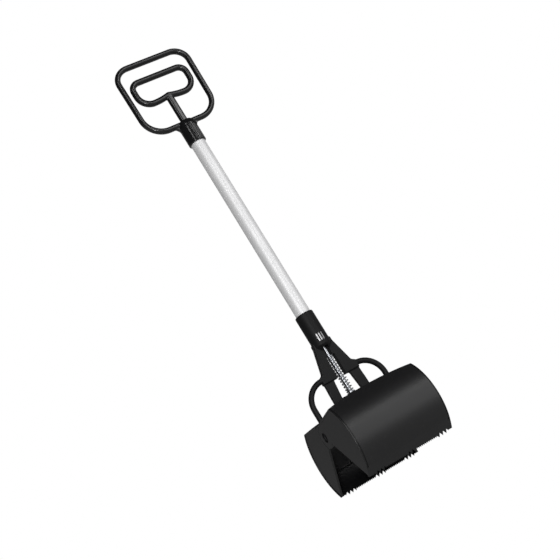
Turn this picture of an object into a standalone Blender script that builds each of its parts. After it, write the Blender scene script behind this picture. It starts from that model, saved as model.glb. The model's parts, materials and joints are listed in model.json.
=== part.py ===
# Long-handled pooper scooper: two toothed jaws on one hinge pin, opened by a pull trigger
# in the D grip through a rod inside the tube, and closed by a coil spring in the fork.
# Metres, +Z up. The scooper stands on its open jaws, with the floor at Z 0. X runs along the
# hinge pin, and -Y is the front. Inside each group, places are measured from the hinge pin's axis.

import math

import bmesh
import bpy
import numpy as np

# Jaws, seen from their ends with the mouth shut
JAW_LENGTH = 0.132
JAW_RADIUS = 0.0625
JAW_CENTRE_ASIDE = 0.004
JAW_CENTRE_DROP = 0.038
JAW_WALL = 0.0022
JAW_OPENING = math.radians(42)
RIDGE_ANGLE = math.radians(10)
RIDGE_CROWN_ANGLE = math.radians(9)
LAST_ARC_ANGLE = math.radians(-80)
ROOF_EDGE_ASIDE = 0.0136
ROOF_EDGE_HEIGHT = 0.020
LEDGE_ANGLE = math.radians(-56)
LEDGE_DEPTH = 0.0035
LEDGE_THICKNESS = 0.0024
CAP_THICKNESS = 0.003
CAP_RIM = 0.0008
MOUTH_GAP = 0.0006

# Teeth, cut along the line where the two jaws meet
TOOTH_GAP = 0.0012
LARGE_TOOTH_PITCH = 0.0055
LARGE_TOOTH_LENGTH = 0.0066
LARGE_TEETH_IN_GROUP = 3
TOOTH_GROUP_FROM_END = 0.00825
SMALL_TOOTH_PITCH = 0.00275
SMALL_TOOTH_LENGTH = 0.0022
TOOTH_TIP_SHARE = 0.74

# Hinge pin and the ears that turn on it
PIN_DIAMETER = 0.006
PIN_HEAD_DIAMETER = 0.009
PIN_HEAD_HEIGHT = 0.0014
PIN_CLEARANCE = 0.0003
RUNNING_GAP = 0.0004
HUB_RADIUS = 0.016
END_EAR_RADIUS = 0.009
COUNTERBORE_DEPTH = 0.0018
COUNTERBORE_CLEARANCE = 0.0025
EAR_THICKNESS = 0.004
CAM_HUB_RADIUS = 0.008
EAR_FOOT_RADIUS = 0.0035

# Crosshead on the rod's lower end, whose pin runs in the ears' cam slots
TRAVEL = 0.020
CROSS_PIN_OPEN_HEIGHT = 0.029
CROSS_PIN_DIAMETER = 0.005
SLOT_CLEARANCE = 0.0003
SLOT_WALL = 0.0032
CROSSHEAD_DIAMETER = 0.0122
CROSSHEAD_BELOW_PIN = 0.0048
CROSSHEAD_ABOVE_PIN = 0.006

# Pull rod, its bush and the return spring
ROD_DIAMETER = 0.006
ROD_CLEARANCE = 0.0003
ROD_SEAT_DEPTH = 0.0028
ROD_IN_STEM = 0.018
ROD_PIN_DIAMETER = 0.003
BUSH_LENGTH = 0.014
BUSH_ABOVE_TUBE_END = 0.017
BUSH_FLANGE = 0.002
SPRING_DIAMETER = 0.0115
SPRING_WIRE = 0.0016
SPRING_TURNS = 13
SPRING_DEAD_TURNS = 1
SPRING_DEAD_GAP = 0.0006
WASHER_DIAMETER = 0.0122
WASHER_THICKNESS = 0.001
SEAT_GAP = 0.0003

# Tube
TUBE_DIAMETER = 0.022
TUBE_WALL = 0.0012
TUBE_SHOWN = 0.292
TUBE_CLEARANCE = 0.0003

# Fork: neck, web, two legs inside the jaws and two hoops out to the pin's ends
NECK_DIAMETER = 0.027
NECK_TOP = 0.160
NECK_LENGTH = 0.050
NECK_FLARE = 0.001
NECK_TAPER = 0.012
WINDOW_COUNT = 3
WINDOW_WIDTH = 0.0024
WINDOW_PITCH = 0.0038
WINDOW_HEIGHT = 0.0115
WINDOW_LIFT = 0.005
WEB_DEPTH = 0.0105
WEB_TOP_HALF_WIDTH = 0.0146
WEB_SHOULDER_HALF_WIDTH = 0.0235
WEB_SHOULDER_RISE = 0.0035
WEB_SIDE_HEIGHT = 0.0105
WEB_FOOT_HEIGHT = 0.061
WEB_ROOT_INTO_NECK = 0.006
LEG_DEPTH = 0.0068
LEG_INNER_AT_WEB = 0.013
LEG_INNER_AT_FOOT = 0.0156
LEG_OUTER_AT_WEB = 0.0282
LEG_OUTER_AT_FOOT = 0.0292
LEG_STRAIGHT_BELOW = 0.037
EYE_RADIUS = 0.0072
EYE_PROUD = 0.0003
WEB_BESIDE_LEG = 0.0008
HOOP_CENTRE_ASIDE = 0.028
HOOP_CENTRE_HEIGHT = 0.038
HOOP_WIDTH = 0.008
HOOP_DEPTH = 0.0086
HOOP_ROOT = 0.006
HOOP_EYE_WIDTH = 0.0078
SPRING_SLOT_TOP = 0.0925
SPRING_SLOT_HALF_WIDTH = 0.0068
ROD_SLOT_TOP = 0.107
ROD_SLOT_HALF_WIDTH = 0.0043

# D grip
GRIP_SOCKET_DIAMETER = 0.0268
GRIP_SOCKET_LENGTH = 0.036
GRIP_SOCKET_SHOULDER = 0.0085
FRAME_HALF_WIDTH = 0.0555
FRAME_LOW_RADIUS = 0.0295
FRAME_TOP_RADIUS = 0.022
FRAME_HEIGHT = 0.1145
FRAME_FLARE_SHARE = 0.04
FRAME_BAR_WIDTH = 0.0084
FRAME_BAR_DEPTH = 0.0104
GUSSET_DEPTH = 0.006
GUSSET_ASIDE = 0.027
GUSSET_LENGTH = 0.022
GRIP_RIB_COUNT = 3
GRIP_RIB_WIDTH = 0.0018
GRIP_RIB_SPACING = math.radians(27)
GRIP_RIB_HEIGHT = 0.0009
GRIP_RIB_LENGTH = 0.034

# Trigger
TRIGGER_BESIDE_FRAME = 0.012
TRIGGER_LIFT = 0.0475
TRIGGER_HEIGHT = 0.0395
TRIGGER_LOW_RADIUS = 0.019
TRIGGER_TOP_RADIUS = 0.012
TRIGGER_BAR_WIDTH = 0.009
TRIGGER_BAR_DEPTH = 0.0104
TRIGGER_CUSP = 0.0035
STEM_WIDTH = 0.0112
STEM_DEPTH = 0.009
STEM_CLEARANCE = 0.0005
STEM_IN_TUBE = 0.048

# Screws through the sockets' backs into the tube
SCREW_SHANK_DIAMETER = 0.0032
SCREW_SHANK_LENGTH = 0.0048
SCREW_HEAD_DIAMETER = 0.0064
SCREW_HEAD_HEIGHT = 0.0021
SCREW_HEAD_RECESS = 0.0011
SCREW_RECESS_DIAMETER = 0.0024
SCREW_CLEARANCE = 0.0003
SCREW_SPOT_DEPTH = 0.0006
FORK_SCREW_DEPTHS = (0.008, 0.024)
GRIP_SCREW_DEPTHS = (0.006, 0.019)

# One overrun takes every cut clear of the wall it cuts
OVERRUN = 0.004

ROUND_STEPS = 32
SMALL_ROUND_STEPS = 16
ARC_STEPS = 11
CROWN_STEPS = 8
BAR_SIDES = 12
EAR_STEPS = 48
SLOT_STEPS = 8
HUB_STEPS = 20
GUSSET_STEPS = 6
SPRING_POINTS = 10
SHARP_ANGLE = math.radians(32)

half_length = JAW_LENGTH / 2
pin_radius = PIN_DIAMETER / 2
tube_radius = TUBE_DIAMETER / 2
tube_bore_radius = tube_radius - TUBE_WALL
neck_foot = NECK_TOP - NECK_LENGTH
tube_foot = neck_foot + TUBE_CLEARANCE
grip_foot = NECK_TOP + TUBE_SHOWN
frame_foot = grip_foot + GRIP_SOCKET_LENGTH
tube_top = frame_foot - GRIP_SOCKET_SHOULDER - TUBE_CLEARANCE
frame_top = frame_foot + FRAME_HEIGHT
trigger_foot = frame_foot + TRIGGER_LIFT
trigger_top = trigger_foot + TRIGGER_HEIGHT
trigger_half_width = FRAME_HALF_WIDTH - TRIGGER_BESIDE_FRAME
stem_foot = tube_top - STEM_IN_TUBE
closed_pin_height = CROSS_PIN_OPEN_HEIGHT - TRAVEL
crosshead_top = CROSS_PIN_OPEN_HEIGHT + CROSSHEAD_ABOVE_PIN
cap_outside = half_length - CAP_RIM
cap_inside = cap_outside - CAP_THICKNESS
teeth_end = cap_inside - TOOTH_GAP
hoop_outside = cap_inside - RUNNING_GAP
hoop_inside = hoop_outside - HOOP_EYE_WIDTH
hoop_middle = (hoop_outside + hoop_inside) / 2
leg_top = WEB_FOOT_HEIGHT + WEB_SIDE_HEIGHT
end_ear_outside = hoop_inside - RUNNING_GAP
inner_ear_inside = CROSSHEAD_DIAMETER / 2 + RUNNING_GAP
outer_ear_inside = inner_ear_inside + EAR_THICKNESS + RUNNING_GAP
cross_pin_half_length = outer_ear_inside + EAR_THICKNESS - RUNNING_GAP
fork_screw_heights = [NECK_TOP - d for d in FORK_SCREW_DEPTHS]
grip_screw_heights = [grip_foot + d for d in GRIP_SCREW_DEPTHS]


def add_material(name, colour, roughness, metallic=0.0):
    material = bpy.data.materials.new(name)
    material.use_nodes = True
    shader = material.node_tree.nodes["Principled BSDF"]
    shader.inputs["Base Color"].default_value = (*colour, 1)
    shader.inputs["Roughness"].default_value = roughness
    shader.inputs["Metallic"].default_value = metallic
    material.diffuse_color = (*colour, 1)
    return material


def add_empty(name, height, tilt=0.0):
    empty = bpy.data.objects.new(name, None)
    empty.location.z = height
    empty.rotation_euler.x = tilt
    bpy.context.scene.collection.objects.link(empty)
    return empty


def add_mesh(name, shapes, parent, material=None):
    """One object from a list of (points, faces) that stay clear of each other."""
    mesh = bpy.data.meshes.new(name)
    points, faces = [], []
    for shape_points, shape_faces in shapes:
        first = len(points)
        points += [tuple(p) for p in shape_points]
        faces += [[first + i for i in face] for face in shape_faces]
    mesh.from_pydata(points, [], faces)
    bm = bmesh.new()
    bm.from_mesh(mesh)
    bmesh.ops.recalc_face_normals(bm, faces=bm.faces)
    bm.to_mesh(mesh)
    bm.free()
    mesh.shade_smooth()
    mesh.set_sharp_from_angle(angle=SHARP_ANGLE)
    if material:
        mesh.materials.append(material)
    obj = bpy.data.objects.new(name, mesh)
    obj.parent = parent
    bpy.context.scene.collection.objects.link(obj)
    return obj


def helper(name, shapes, parent):
    obj = add_mesh(name, shapes, parent)
    obj.hide_render = True
    obj.display_type = "WIRE"
    return obj


def combine(obj, name, shapes, operation):
    """Joins the shapes to the object, or cuts them from it."""
    modifier = obj.modifiers.new(name, "BOOLEAN")
    modifier.operation = operation
    modifier.object = helper(f"{obj.name}_{name}", shapes, obj.parent)


def join(obj, name, shapes):
    combine(obj, name, shapes, "UNION")


def cut(obj, name, shapes):
    combine(obj, name, shapes, "DIFFERENCE")


def place(axis, across, up, along):
    """The point whose outline coordinates are (across, up) and that lies at `along` on the axis."""
    if axis == "X":
        return (along, across, up)
    if axis == "Y":
        return (across, along, up)
    return (across, up, along)


def prism(outline, axis, low, high):
    count = len(outline)
    points = [place(axis, a, b, low) for a, b in outline]
    points += [place(axis, a, b, high) for a, b in outline]
    faces = [list(range(count)), list(range(count, 2 * count))]
    faces += [[i, (i + 1) % count, count + (i + 1) % count, count + i] for i in range(count)]
    return points, faces


def box(low, high):
    outline = [(low[0], low[1]), (high[0], low[1]), (high[0], high[1]), (low[0], high[1])]
    return prism(outline, "Z", low[2], high[2])


def circle(radius, steps, centre=(0, 0)):
    angles = [2 * math.pi * (i + 0.5) / steps for i in range(steps)]
    return [(centre[0] + radius * math.cos(a), centre[1] + radius * math.sin(a)) for a in angles]


def rod(axis, radius, low, high, centre=(0, 0), steps=SMALL_ROUND_STEPS):
    return prism(circle(radius, steps, centre), axis, low, high)


def turned(axis, profile, steps, centre=(0, 0)):
    """A closed profile of (radius, along) turned round the axis. It has no point on the axis."""
    count = len(profile)
    points, faces = [], []
    for i in range(steps):
        angle = 2 * math.pi * (i + 0.5) / steps
        for radius, along in profile:
            across = centre[0] + radius * math.cos(angle)
            up = centre[1] + radius * math.sin(angle)
            points.append(place(axis, across, up, along))
    for i in range(steps):
        this, following = i * count, (i + 1) % steps * count
        for j in range(count):
            k = (j + 1) % count
            faces.append([this + j, this + k, following + k, following + j])
    return points, faces


def turned_solid(axis, profile, steps, centre=(0, 0)):
    """A profile of (radius, along) turned round the axis, with flat ends."""
    count = len(profile)
    points, faces = [], []
    for i in range(steps):
        angle = 2 * math.pi * (i + 0.5) / steps
        for radius, along in profile:
            across = centre[0] + radius * math.cos(angle)
            up = centre[1] + radius * math.sin(angle)
            points.append(place(axis, across, up, along))
    for i in range(steps):
        this, following = i * count, (i + 1) % steps * count
        for j in range(count - 1):
            faces.append([this + j, this + j + 1, following + j + 1, following + j])
    faces.append([i * count for i in range(steps)])
    faces.append([i * count + count - 1 for i in range(steps)])
    return points, faces


def arc(centre, radius, start, end, steps):
    angles = [start + (end - start) * i / steps for i in range(steps + 1)]
    return [(centre[0] + radius * math.cos(a), centre[1] + radius * math.sin(a)) for a in angles]


def oval(width, depth):
    """The section of a bar: (across in the XZ plane, along Y)."""
    angles = [2 * math.pi * (i + 0.5) / BAR_SIDES for i in range(BAR_SIDES)]
    return [(width / 2 * math.cos(a), depth / 2 * math.sin(a)) for a in angles]


def swept(path, section, closed):
    """A bar of that section along a path of (x, z)."""
    count, size = len(path), len(section)
    points, faces = [], []
    for i, (x, z) in enumerate(path):
        before = path[i - 1] if closed or i else path[i]
        after = path[(i + 1) % count] if closed or i < count - 1 else path[i]
        run = np.array([after[0] - before[0], after[1] - before[1]])
        run /= np.linalg.norm(run)
        for across, depth in section:
            points.append((x - run[1] * across, depth, z + run[0] * across))
    for i in range(count if closed else count - 1):
        this, following = i * size, (i + 1) % count * size
        for j in range(size):
            k = (j + 1) % size
            faces.append([this + j, this + k, following + k, following + j])
    if not closed:
        faces.append(list(range(size)))
        faces.append(list(range((count - 1) * size, count * size)))
    return points, faces


def mirrored(shape, axis):
    """The shape turned over to the other side of X 0 or Y 0."""
    points, faces = shape
    flip = {"X": (-1, 1, 1), "Y": (1, -1, 1)}[axis]
    return [tuple(p * f for p, f in zip(point, flip)) for point in points], faces


def both_sides(shape):
    return [shape, mirrored(shape, "X")]


def shut_point(aside, height):
    """A place given with the jaws open, as the jaw carries it when its mouth is shut."""
    cos, sin = math.cos(JAW_OPENING), math.sin(JAW_OPENING)
    return aside * cos + height * sin, height * cos - aside * sin


def wall_point(angle, depth=0.0):
    radius = JAW_RADIUS - depth
    return JAW_CENTRE_ASIDE + radius * math.cos(angle), radius * math.sin(angle) - JAW_CENTRE_DROP


roof_edge = shut_point(ROOF_EDGE_ASIDE, ROOF_EDGE_HEIGHT)


def ridge_angle_at(x):
    """The ridge lies higher in the middle of the jaw than at its ends."""
    return RIDGE_ANGLE + RIDGE_CROWN_ANGLE * (1 - (x / half_length) ** 2)


def roof_directions(ridge_angle):
    """Unit vectors along the roof, out to the ridge, and square to it, into the jaw."""
    ridge = np.array(wall_point(ridge_angle))
    out = ridge - np.array(roof_edge)
    out /= np.linalg.norm(out)
    return out, np.array([out[1], -out[0]])


def ridge_point(ridge_angle, depth):
    """The corner between the wall and the roof, both moved inwards by depth."""
    _, down = roof_directions(ridge_angle)
    inward = -np.array([math.cos(ridge_angle), math.sin(ridge_angle)])
    corner = np.array(wall_point(ridge_angle))
    return tuple(corner + depth * (inward + down) / (1 + inward @ down))


def roof_edge_point(ridge_angle, depth):
    _, down = roof_directions(ridge_angle)
    return tuple(np.array(roof_edge) + depth * down)


def lip_point(aside, depth):
    """A place on the flat strip that carries the teeth, at a distance from the mouth's middle."""
    start, end = np.array(wall_point(LAST_ARC_ANGLE)), np.array(wall_point(-math.pi / 2))
    run = (end - start) / np.linalg.norm(end - start)
    start = start + depth * np.array([run[1], -run[0]])
    return tuple(start + run * (aside - start[0]) / run[0])


def lip_foot(depth):
    """The strip's upper edge, where the curved wall ends."""
    start, end = np.array(wall_point(LAST_ARC_ANGLE)), np.array(wall_point(-math.pi / 2))
    run = (end - start) / np.linalg.norm(end - start)
    return tuple(start + depth * np.array([run[1], -run[0]]))


def tooth_line():
    """The zigzag (x, y) that the two jaws' teeth share when the mouth is shut, from end to end.

    It is straight across the end plates, so that no tooth meets the other jaw's plate."""
    group_half = LARGE_TEETH_IN_GROUP * LARGE_TOOTH_PITCH / 2
    spacing = half_length - TOOTH_GROUP_FROM_END - group_half
    groups = [-spacing, 0.0, spacing]
    line = [(-half_length, 0.0), (-teeth_end, 0.0)]
    runs = []
    start = -teeth_end
    for middle in groups:
        runs.append((start, middle - group_half, SMALL_TOOTH_PITCH, SMALL_TOOTH_LENGTH))
        runs.append((middle - group_half, middle + group_half, LARGE_TOOTH_PITCH, LARGE_TOOTH_LENGTH))
        start = middle + group_half
    runs.append((start, teeth_end, SMALL_TOOTH_PITCH, SMALL_TOOTH_LENGTH))
    for low, high, pitch, length in runs:
        count = max(1, round((high - low) / pitch))
        step = (high - low) / count
        for i in range(count):
            begin = low + i * step
            line.append((begin + step * TOOTH_TIP_SHARE, length / 2))
            line.append((begin + step * (1 + TOOTH_TIP_SHARE) / 2, -length / 2))
    return line + [(teeth_end, 0.0), (half_length, 0.0)]


def jaw_shell(side):
    """Wall, roof and teeth of a jaw with its mouth shut. side is -1 for the front jaw."""
    stations = [half_length * (2 * i / CROWN_STEPS - 1) for i in range(CROWN_STEPS + 1)]
    points, faces = [], []

    def section(x):
        ridge_angle = ridge_angle_at(x)
        outer_angles = np.linspace(ridge_angle, LAST_ARC_ANGLE, ARC_STEPS)[1:-1]
        outer = [roof_edge_point(ridge_angle, 0), ridge_point(ridge_angle, 0)]
        outer += [wall_point(a) for a in outer_angles] + [lip_foot(0)]
        inner_angles = list(np.linspace(LAST_ARC_ANGLE, ridge_angle, ARC_STEPS)[1:-1])
        ledge_half = LEDGE_THICKNESS / JAW_RADIUS / 2
        inner = [lip_foot(JAW_WALL)]
        low, high = LEDGE_ANGLE - ledge_half, LEDGE_ANGLE + ledge_half
        inner += [wall_point(a, JAW_WALL) for a in inner_angles if a < low - ledge_half]
        inner += [wall_point(low, JAW_WALL), wall_point(low, JAW_WALL + LEDGE_DEPTH)]
        inner += [wall_point(high, JAW_WALL + LEDGE_DEPTH), wall_point(high, JAW_WALL)]
        inner += [wall_point(a, JAW_WALL) for a in inner_angles if a > high + ledge_half]
        inner += [ridge_point(ridge_angle, JAW_WALL), roof_edge_point(ridge_angle, JAW_WALL)]
        return outer, inner

    sizes = set()
    for x in stations:
        outer, inner = section(x)
        sizes.add((len(outer), len(inner)))
        points += [(x, side * y, z) for y, z in outer + inner]
    if len(sizes) != 1:
        raise ValueError("the jaw's sections don't match: move the ledge a little")
    outer_count, inner_count = sizes.pop()
    count = outer_count + inner_count
    last = len(stations) - 1
    for i in range(last):
        for j in range(count):
            if j == outer_count - 1:
                continue
            k = (j + 1) % count
            # The crown twists these faces, so each is two triangles.
            faces.append([i * count + j, i * count + k, (i + 1) * count + k])
            faces.append([i * count + j, (i + 1) * count + k, (i + 1) * count + j])

    outside, inside = [], []
    for x, y in tooth_line():
        aside = TOOTH_GAP / 2 + side * y
        for depth, indices in ((0.0, outside), (JAW_WALL, inside)):
            y_shut, z = lip_point(aside, depth)
            indices.append(len(points))
            points.append((x, side * y_shut, z))
    outer_foot = [i * count + outer_count - 1 for i in range(last + 1)]
    inner_foot = [i * count + outer_count for i in range(last + 1)]
    faces.append(outer_foot + outside[::-1])
    faces.append(inner_foot + inside[::-1])
    faces += [[outside[i], outside[i + 1], inside[i + 1], inside[i]] for i in range(len(outside) - 1)]
    for foot, tip in ((0, 0), (last, -1)):
        ring = [foot * count + j for j in range(outer_count)]
        ring += [outside[tip], inside[tip]]
        ring += [foot * count + outer_count + j for j in range(inner_count)]
        faces.append(ring)
    return points, faces


def cap_outline(side, with_hub):
    """An end plate's outline with the mouth shut. It has the hub, or is hollowed round the other's."""
    half_gap = MOUTH_GAP / 2
    depth = JAW_WALL / 2
    outline = [lip_point(half_gap, depth), lip_foot(depth)]
    angles = np.linspace(LAST_ARC_ANGLE, RIDGE_ANGLE, ARC_STEPS)[1:-1]
    outline += [wall_point(a, depth) for a in angles]
    outline.append(ridge_point(RIDGE_ANGLE, depth))
    stop = np.array([math.sin(JAW_OPENING), math.cos(JAW_OPENING)])
    beside = np.array([math.cos(JAW_OPENING), -math.sin(JAW_OPENING)]) * half_gap
    out, _ = roof_directions(RIDGE_ANGLE)
    edge = np.array(roof_edge_point(RIDGE_ANGLE, depth))
    grid = np.array([stop, -out]).T
    along_stop = np.linalg.solve(grid, edge - beside)[0]
    outline.append(tuple(beside + stop * along_stop))
    stop_angle = math.pi / 2 - JAW_OPENING
    radius = HUB_RADIUS if with_hub else HUB_RADIUS + RUNNING_GAP
    swing = math.asin(half_gap / radius)
    start = stop_angle - swing
    end = -math.pi / 2 + swing + (2 * math.pi if with_hub else 0)
    outline += arc((0, 0), radius, start, end, HUB_STEPS)
    return [(side * y, z) for y, z in outline]


def cam_point(side, height):
    """Where the cross pin lies in the jaw with the mouth shut, when it is that far above the hinge."""
    turn = JAW_OPENING * (height - closed_pin_height) / TRAVEL
    return side * height * math.sin(turn), height * math.cos(turn)


def cam_heights():
    return [closed_pin_height + TRAVEL * i / SLOT_STEPS for i in range(SLOT_STEPS + 1)]


def ear_outline(side, x, hub_radius, with_slot):
    """The outline, seen from the hinge, of a plate made of discs on the hub, the slot and the roof."""
    out, down = roof_directions(ridge_angle_at(x))
    foot = np.array(roof_edge) + EAR_FOOT_RADIUS * out + (EAR_FOOT_RADIUS + JAW_WALL / 4) * down
    discs = [(np.array([side * foot[0], foot[1]]) * i / SLOT_STEPS, EAR_FOOT_RADIUS)
             for i in range(1, SLOT_STEPS + 1)]
    if with_slot:
        reach = CROSS_PIN_DIAMETER / 2 + SLOT_CLEARANCE + SLOT_WALL
        discs += [(np.array(cam_point(side, h)), reach) for h in cam_heights()]
    outline = []
    for i in range(EAR_STEPS):
        ray = np.array([math.cos(2 * math.pi * i / EAR_STEPS), math.sin(2 * math.pi * i / EAR_STEPS)])
        reach = hub_radius
        for centre, radius in discs:
            ahead = centre @ ray
            aside = abs(centre[0] * ray[1] - centre[1] * ray[0])
            if aside < radius:
                reach = max(reach, ahead + math.sqrt(radius ** 2 - aside ** 2))
        outline.append(tuple(ray * reach))
    return outline


def slot_outline(side):
    """The cam slot: the cross pin's path with its clearance, round at both ends."""
    half = CROSS_PIN_DIAMETER / 2 + SLOT_CLEARANCE
    path = [np.array(cam_point(side, h)) for h in cam_heights()]
    runs = [path[1] - path[0]] + [path[i + 1] - path[i - 1] for i in range(1, len(path) - 1)]
    runs.append(path[-1] - path[-2])
    runs = [run / np.linalg.norm(run) for run in runs]
    normals = [np.array([-run[1], run[0]]) for run in runs]
    outline = [tuple(p + half * n) for p, n in zip(path, normals)]
    last = math.atan2(normals[-1][1], normals[-1][0])
    outline += arc(tuple(path[-1]), half, last, last - math.pi, SLOT_STEPS)[1:-1]
    outline += [tuple(p - half * n) for p, n in reversed(list(zip(path, normals)))]
    first = math.atan2(-normals[0][1], -normals[0][0])
    outline += arc(tuple(path[0]), half, first, first - math.pi, SLOT_STEPS)[1:-1]
    return outline


def add_jaw(name, side, parent, material):
    front = side < 0
    ear_inside = inner_ear_inside if front else outer_ear_inside
    jaw = add_mesh(name, [jaw_shell(side)], parent, material)
    cap = prism(cap_outline(side, with_hub=front), "X", cap_inside, cap_outside)
    join(jaw, "caps", both_sides(cap))
    ear = prism(ear_outline(side, ear_inside, CAM_HUB_RADIUS, True), "X",
                ear_inside, ear_inside + EAR_THICKNESS)
    join(jaw, "cam_ears", both_sides(ear))
    if not front:
        end_ear = prism(ear_outline(side, end_ear_outside, END_EAR_RADIUS, False), "X",
                        end_ear_outside - EAR_THICKNESS, end_ear_outside)
        join(jaw, "end_ears", both_sides(end_ear))
    slot_low, slot_high = ear_inside - OVERRUN / 8, ear_inside + EAR_THICKNESS + OVERRUN / 8
    cut(jaw, "cam_slots", both_sides(prism(slot_outline(side), "X", slot_low, slot_high)))
    bore = rod("X", pin_radius + PIN_CLEARANCE, -half_length - OVERRUN, half_length + OVERRUN)
    cut(jaw, "hinge_bore", [bore])
    if front:
        radius = PIN_HEAD_DIAMETER / 2 + COUNTERBORE_CLEARANCE
        counterbore = rod("X", radius, cap_outside - COUNTERBORE_DEPTH, cap_outside + OVERRUN, steps=24)
        cut(jaw, "counterbores", both_sides(counterbore))
    return jaw


def add_hinge_pin(parent, material):
    seat = cap_outside - COUNTERBORE_DEPTH + PIN_CLEARANCE
    head = PIN_HEAD_DIAMETER / 2
    edge = PIN_HEAD_HEIGHT / 4
    profile = [(pin_radius - edge, -seat - PIN_HEAD_HEIGHT), (pin_radius, edge - seat - PIN_HEAD_HEIGHT),
               (pin_radius, seat), (head, seat), (head, seat + PIN_HEAD_HEIGHT - edge),
               (head - edge, seat + PIN_HEAD_HEIGHT)]
    add_mesh("hinge_pin", [turned_solid("X", profile, 24)], parent, material)
    hole = pin_radius + PIN_CLEARANCE
    cap = [(hole, -seat), (head, -seat), (head, edge - seat - PIN_HEAD_HEIGHT / 2),
           (head - edge, -seat - PIN_HEAD_HEIGHT / 2), (hole, -seat - PIN_HEAD_HEIGHT / 2)]
    add_mesh("hinge_pin_cap", [turned("X", cap, 24)], parent, material)


def leg():
    """The right leg, whose faces lean out towards the foot, and the eye at its end."""
    half = LEG_DEPTH / 2
    foot, web = (LEG_INNER_AT_FOOT, LEG_OUTER_AT_FOOT), (LEG_INNER_AT_WEB, LEG_OUTER_AT_WEB)
    levels = [(0, *foot), (LEG_STRAIGHT_BELOW, *foot), (WEB_FOOT_HEIGHT, *web), (leg_top, *web)]
    points, faces = [], []
    for z, inner, outer in levels:
        points += [(inner, -half, z), (outer, -half, z), (outer, half, z), (inner, half, z)]
    for i in range(0, len(points) - 4, 4):
        faces += [[i + j, i + (j + 1) % 4, i + 4 + (j + 1) % 4, i + 4 + j] for j in range(4)]
    faces += [[0, 1, 2, 3], [len(points) - 4 + j for j in range(4)]]
    return points, faces


def screw_spots(radius, heights):
    """Flats for screw heads on the back of a socket, and the holes below them."""
    spot_radius = SCREW_HEAD_DIAMETER / 2 + SCREW_CLEARANCE
    hole_radius = SCREW_SHANK_DIAMETER / 2 + SCREW_CLEARANCE
    seat = radius - SCREW_SPOT_DEPTH
    spots = [rod("Y", spot_radius, seat, radius + OVERRUN, (0, z), 20) for z in heights]
    holes = [rod("Y", hole_radius, 0, radius + OVERRUN / 2, (0, z)) for z in heights]
    return spots, holes


def add_fork(parent, material):
    half_web, radius = WEB_DEPTH / 2, NECK_DIAMETER / 2
    web_half_width = LEG_OUTER_AT_WEB + WEB_BESIDE_LEG
    outline = [(WEB_TOP_HALF_WIDTH, neck_foot + WEB_ROOT_INTO_NECK), (WEB_TOP_HALF_WIDTH, neck_foot),
               (WEB_SHOULDER_HALF_WIDTH, leg_top + WEB_SHOULDER_RISE), (web_half_width, leg_top),
               (web_half_width, WEB_FOOT_HEIGHT)]
    outline = [(-x, z) for x, z in outline] + outline[::-1]
    fork = add_mesh("fork", [prism(outline, "Y", -half_web, half_web)], parent, material)
    edges = fork.modifiers.new("web_edges", "BEVEL")
    edges.width = WEB_DEPTH / 10
    edges.segments = 2
    edges.limit_method = "ANGLE"
    neck = [(half_web - NECK_FLARE, neck_foot - NECK_TAPER), (radius, neck_foot),
            (radius, NECK_TOP - NECK_FLARE), (radius - NECK_FLARE / 2, NECK_TOP)]
    join(fork, "neck", [turned_solid("Z", neck, ROUND_STEPS)])
    join(fork, "legs", both_sides(leg()))
    leg_eye = rod("X", EYE_RADIUS, LEG_INNER_AT_FOOT - EYE_PROUD, LEG_OUTER_AT_FOOT + EYE_PROUD, steps=24)
    join(fork, "leg_eyes", both_sides(leg_eye))
    hoop_radius = hoop_middle - HOOP_CENTRE_ASIDE
    centre = (HOOP_CENTRE_ASIDE, HOOP_CENTRE_HEIGHT)
    path = [(HOOP_CENTRE_ASIDE - HOOP_ROOT, HOOP_CENTRE_HEIGHT + hoop_radius)]
    path += arc(centre, hoop_radius, math.pi / 2, 0, ARC_STEPS + 1) + [(hoop_middle, 0)]
    join(fork, "hoops", both_sides(swept(path, oval(HOOP_WIDTH, HOOP_DEPTH), False)))
    hoop_eye = rod("X", EYE_RADIUS, hoop_inside, hoop_outside, steps=24)
    join(fork, "hoop_eyes", both_sides(hoop_eye))

    bore = rod("Z", tube_radius + TUBE_CLEARANCE, neck_foot, NECK_TOP + OVERRUN, steps=ROUND_STEPS)
    cut(fork, "tube_bore", [bore])
    slot = [(SPRING_SLOT_HALF_WIDTH, WEB_FOOT_HEIGHT - OVERRUN), (SPRING_SLOT_HALF_WIDTH, SPRING_SLOT_TOP),
            (ROD_SLOT_HALF_WIDTH, SPRING_SLOT_TOP), (ROD_SLOT_HALF_WIDTH, ROD_SLOT_TOP)]
    slot = [(-x, z) for x, z in slot] + slot[::-1]
    cut(fork, "spring_slot", [prism(slot, "Y", -radius - OVERRUN, radius + OVERRUN)])
    rod_hole = rod("Z", ROD_DIAMETER / 2 + ROD_CLEARANCE, ROD_SLOT_TOP - OVERRUN, neck_foot + OVERRUN)
    cut(fork, "rod_hole", [rod_hole])
    window_foot = neck_foot + WINDOW_LIFT
    windows = []
    for i in range(WINDOW_COUNT):
        x = WINDOW_PITCH * (i - (WINDOW_COUNT - 1) / 2)
        windows.append(box((x - WINDOW_WIDTH / 2, -radius - OVERRUN, window_foot),
                           (x + WINDOW_WIDTH / 2, -tube_bore_radius, window_foot + WINDOW_HEIGHT)))
    cut(fork, "windows", windows)
    bore = rod("X", pin_radius + PIN_CLEARANCE, -half_length, half_length)
    cut(fork, "hinge_bore", [bore])
    spots, holes = screw_spots(radius, fork_screw_heights)
    cut(fork, "screw_spots", spots)
    cut(fork, "screw_holes", holes)


def add_tube(parent, material):
    profile = [(tube_bore_radius, tube_foot), (tube_radius, tube_foot), (tube_radius, tube_top),
               (tube_bore_radius, tube_top)]
    tube = add_mesh("main_tube", [turned("Z", profile, ROUND_STEPS)], parent, material)
    cut(tube, "screw_holes", screw_spots(tube_radius, fork_screw_heights + grip_screw_heights)[1])


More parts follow.
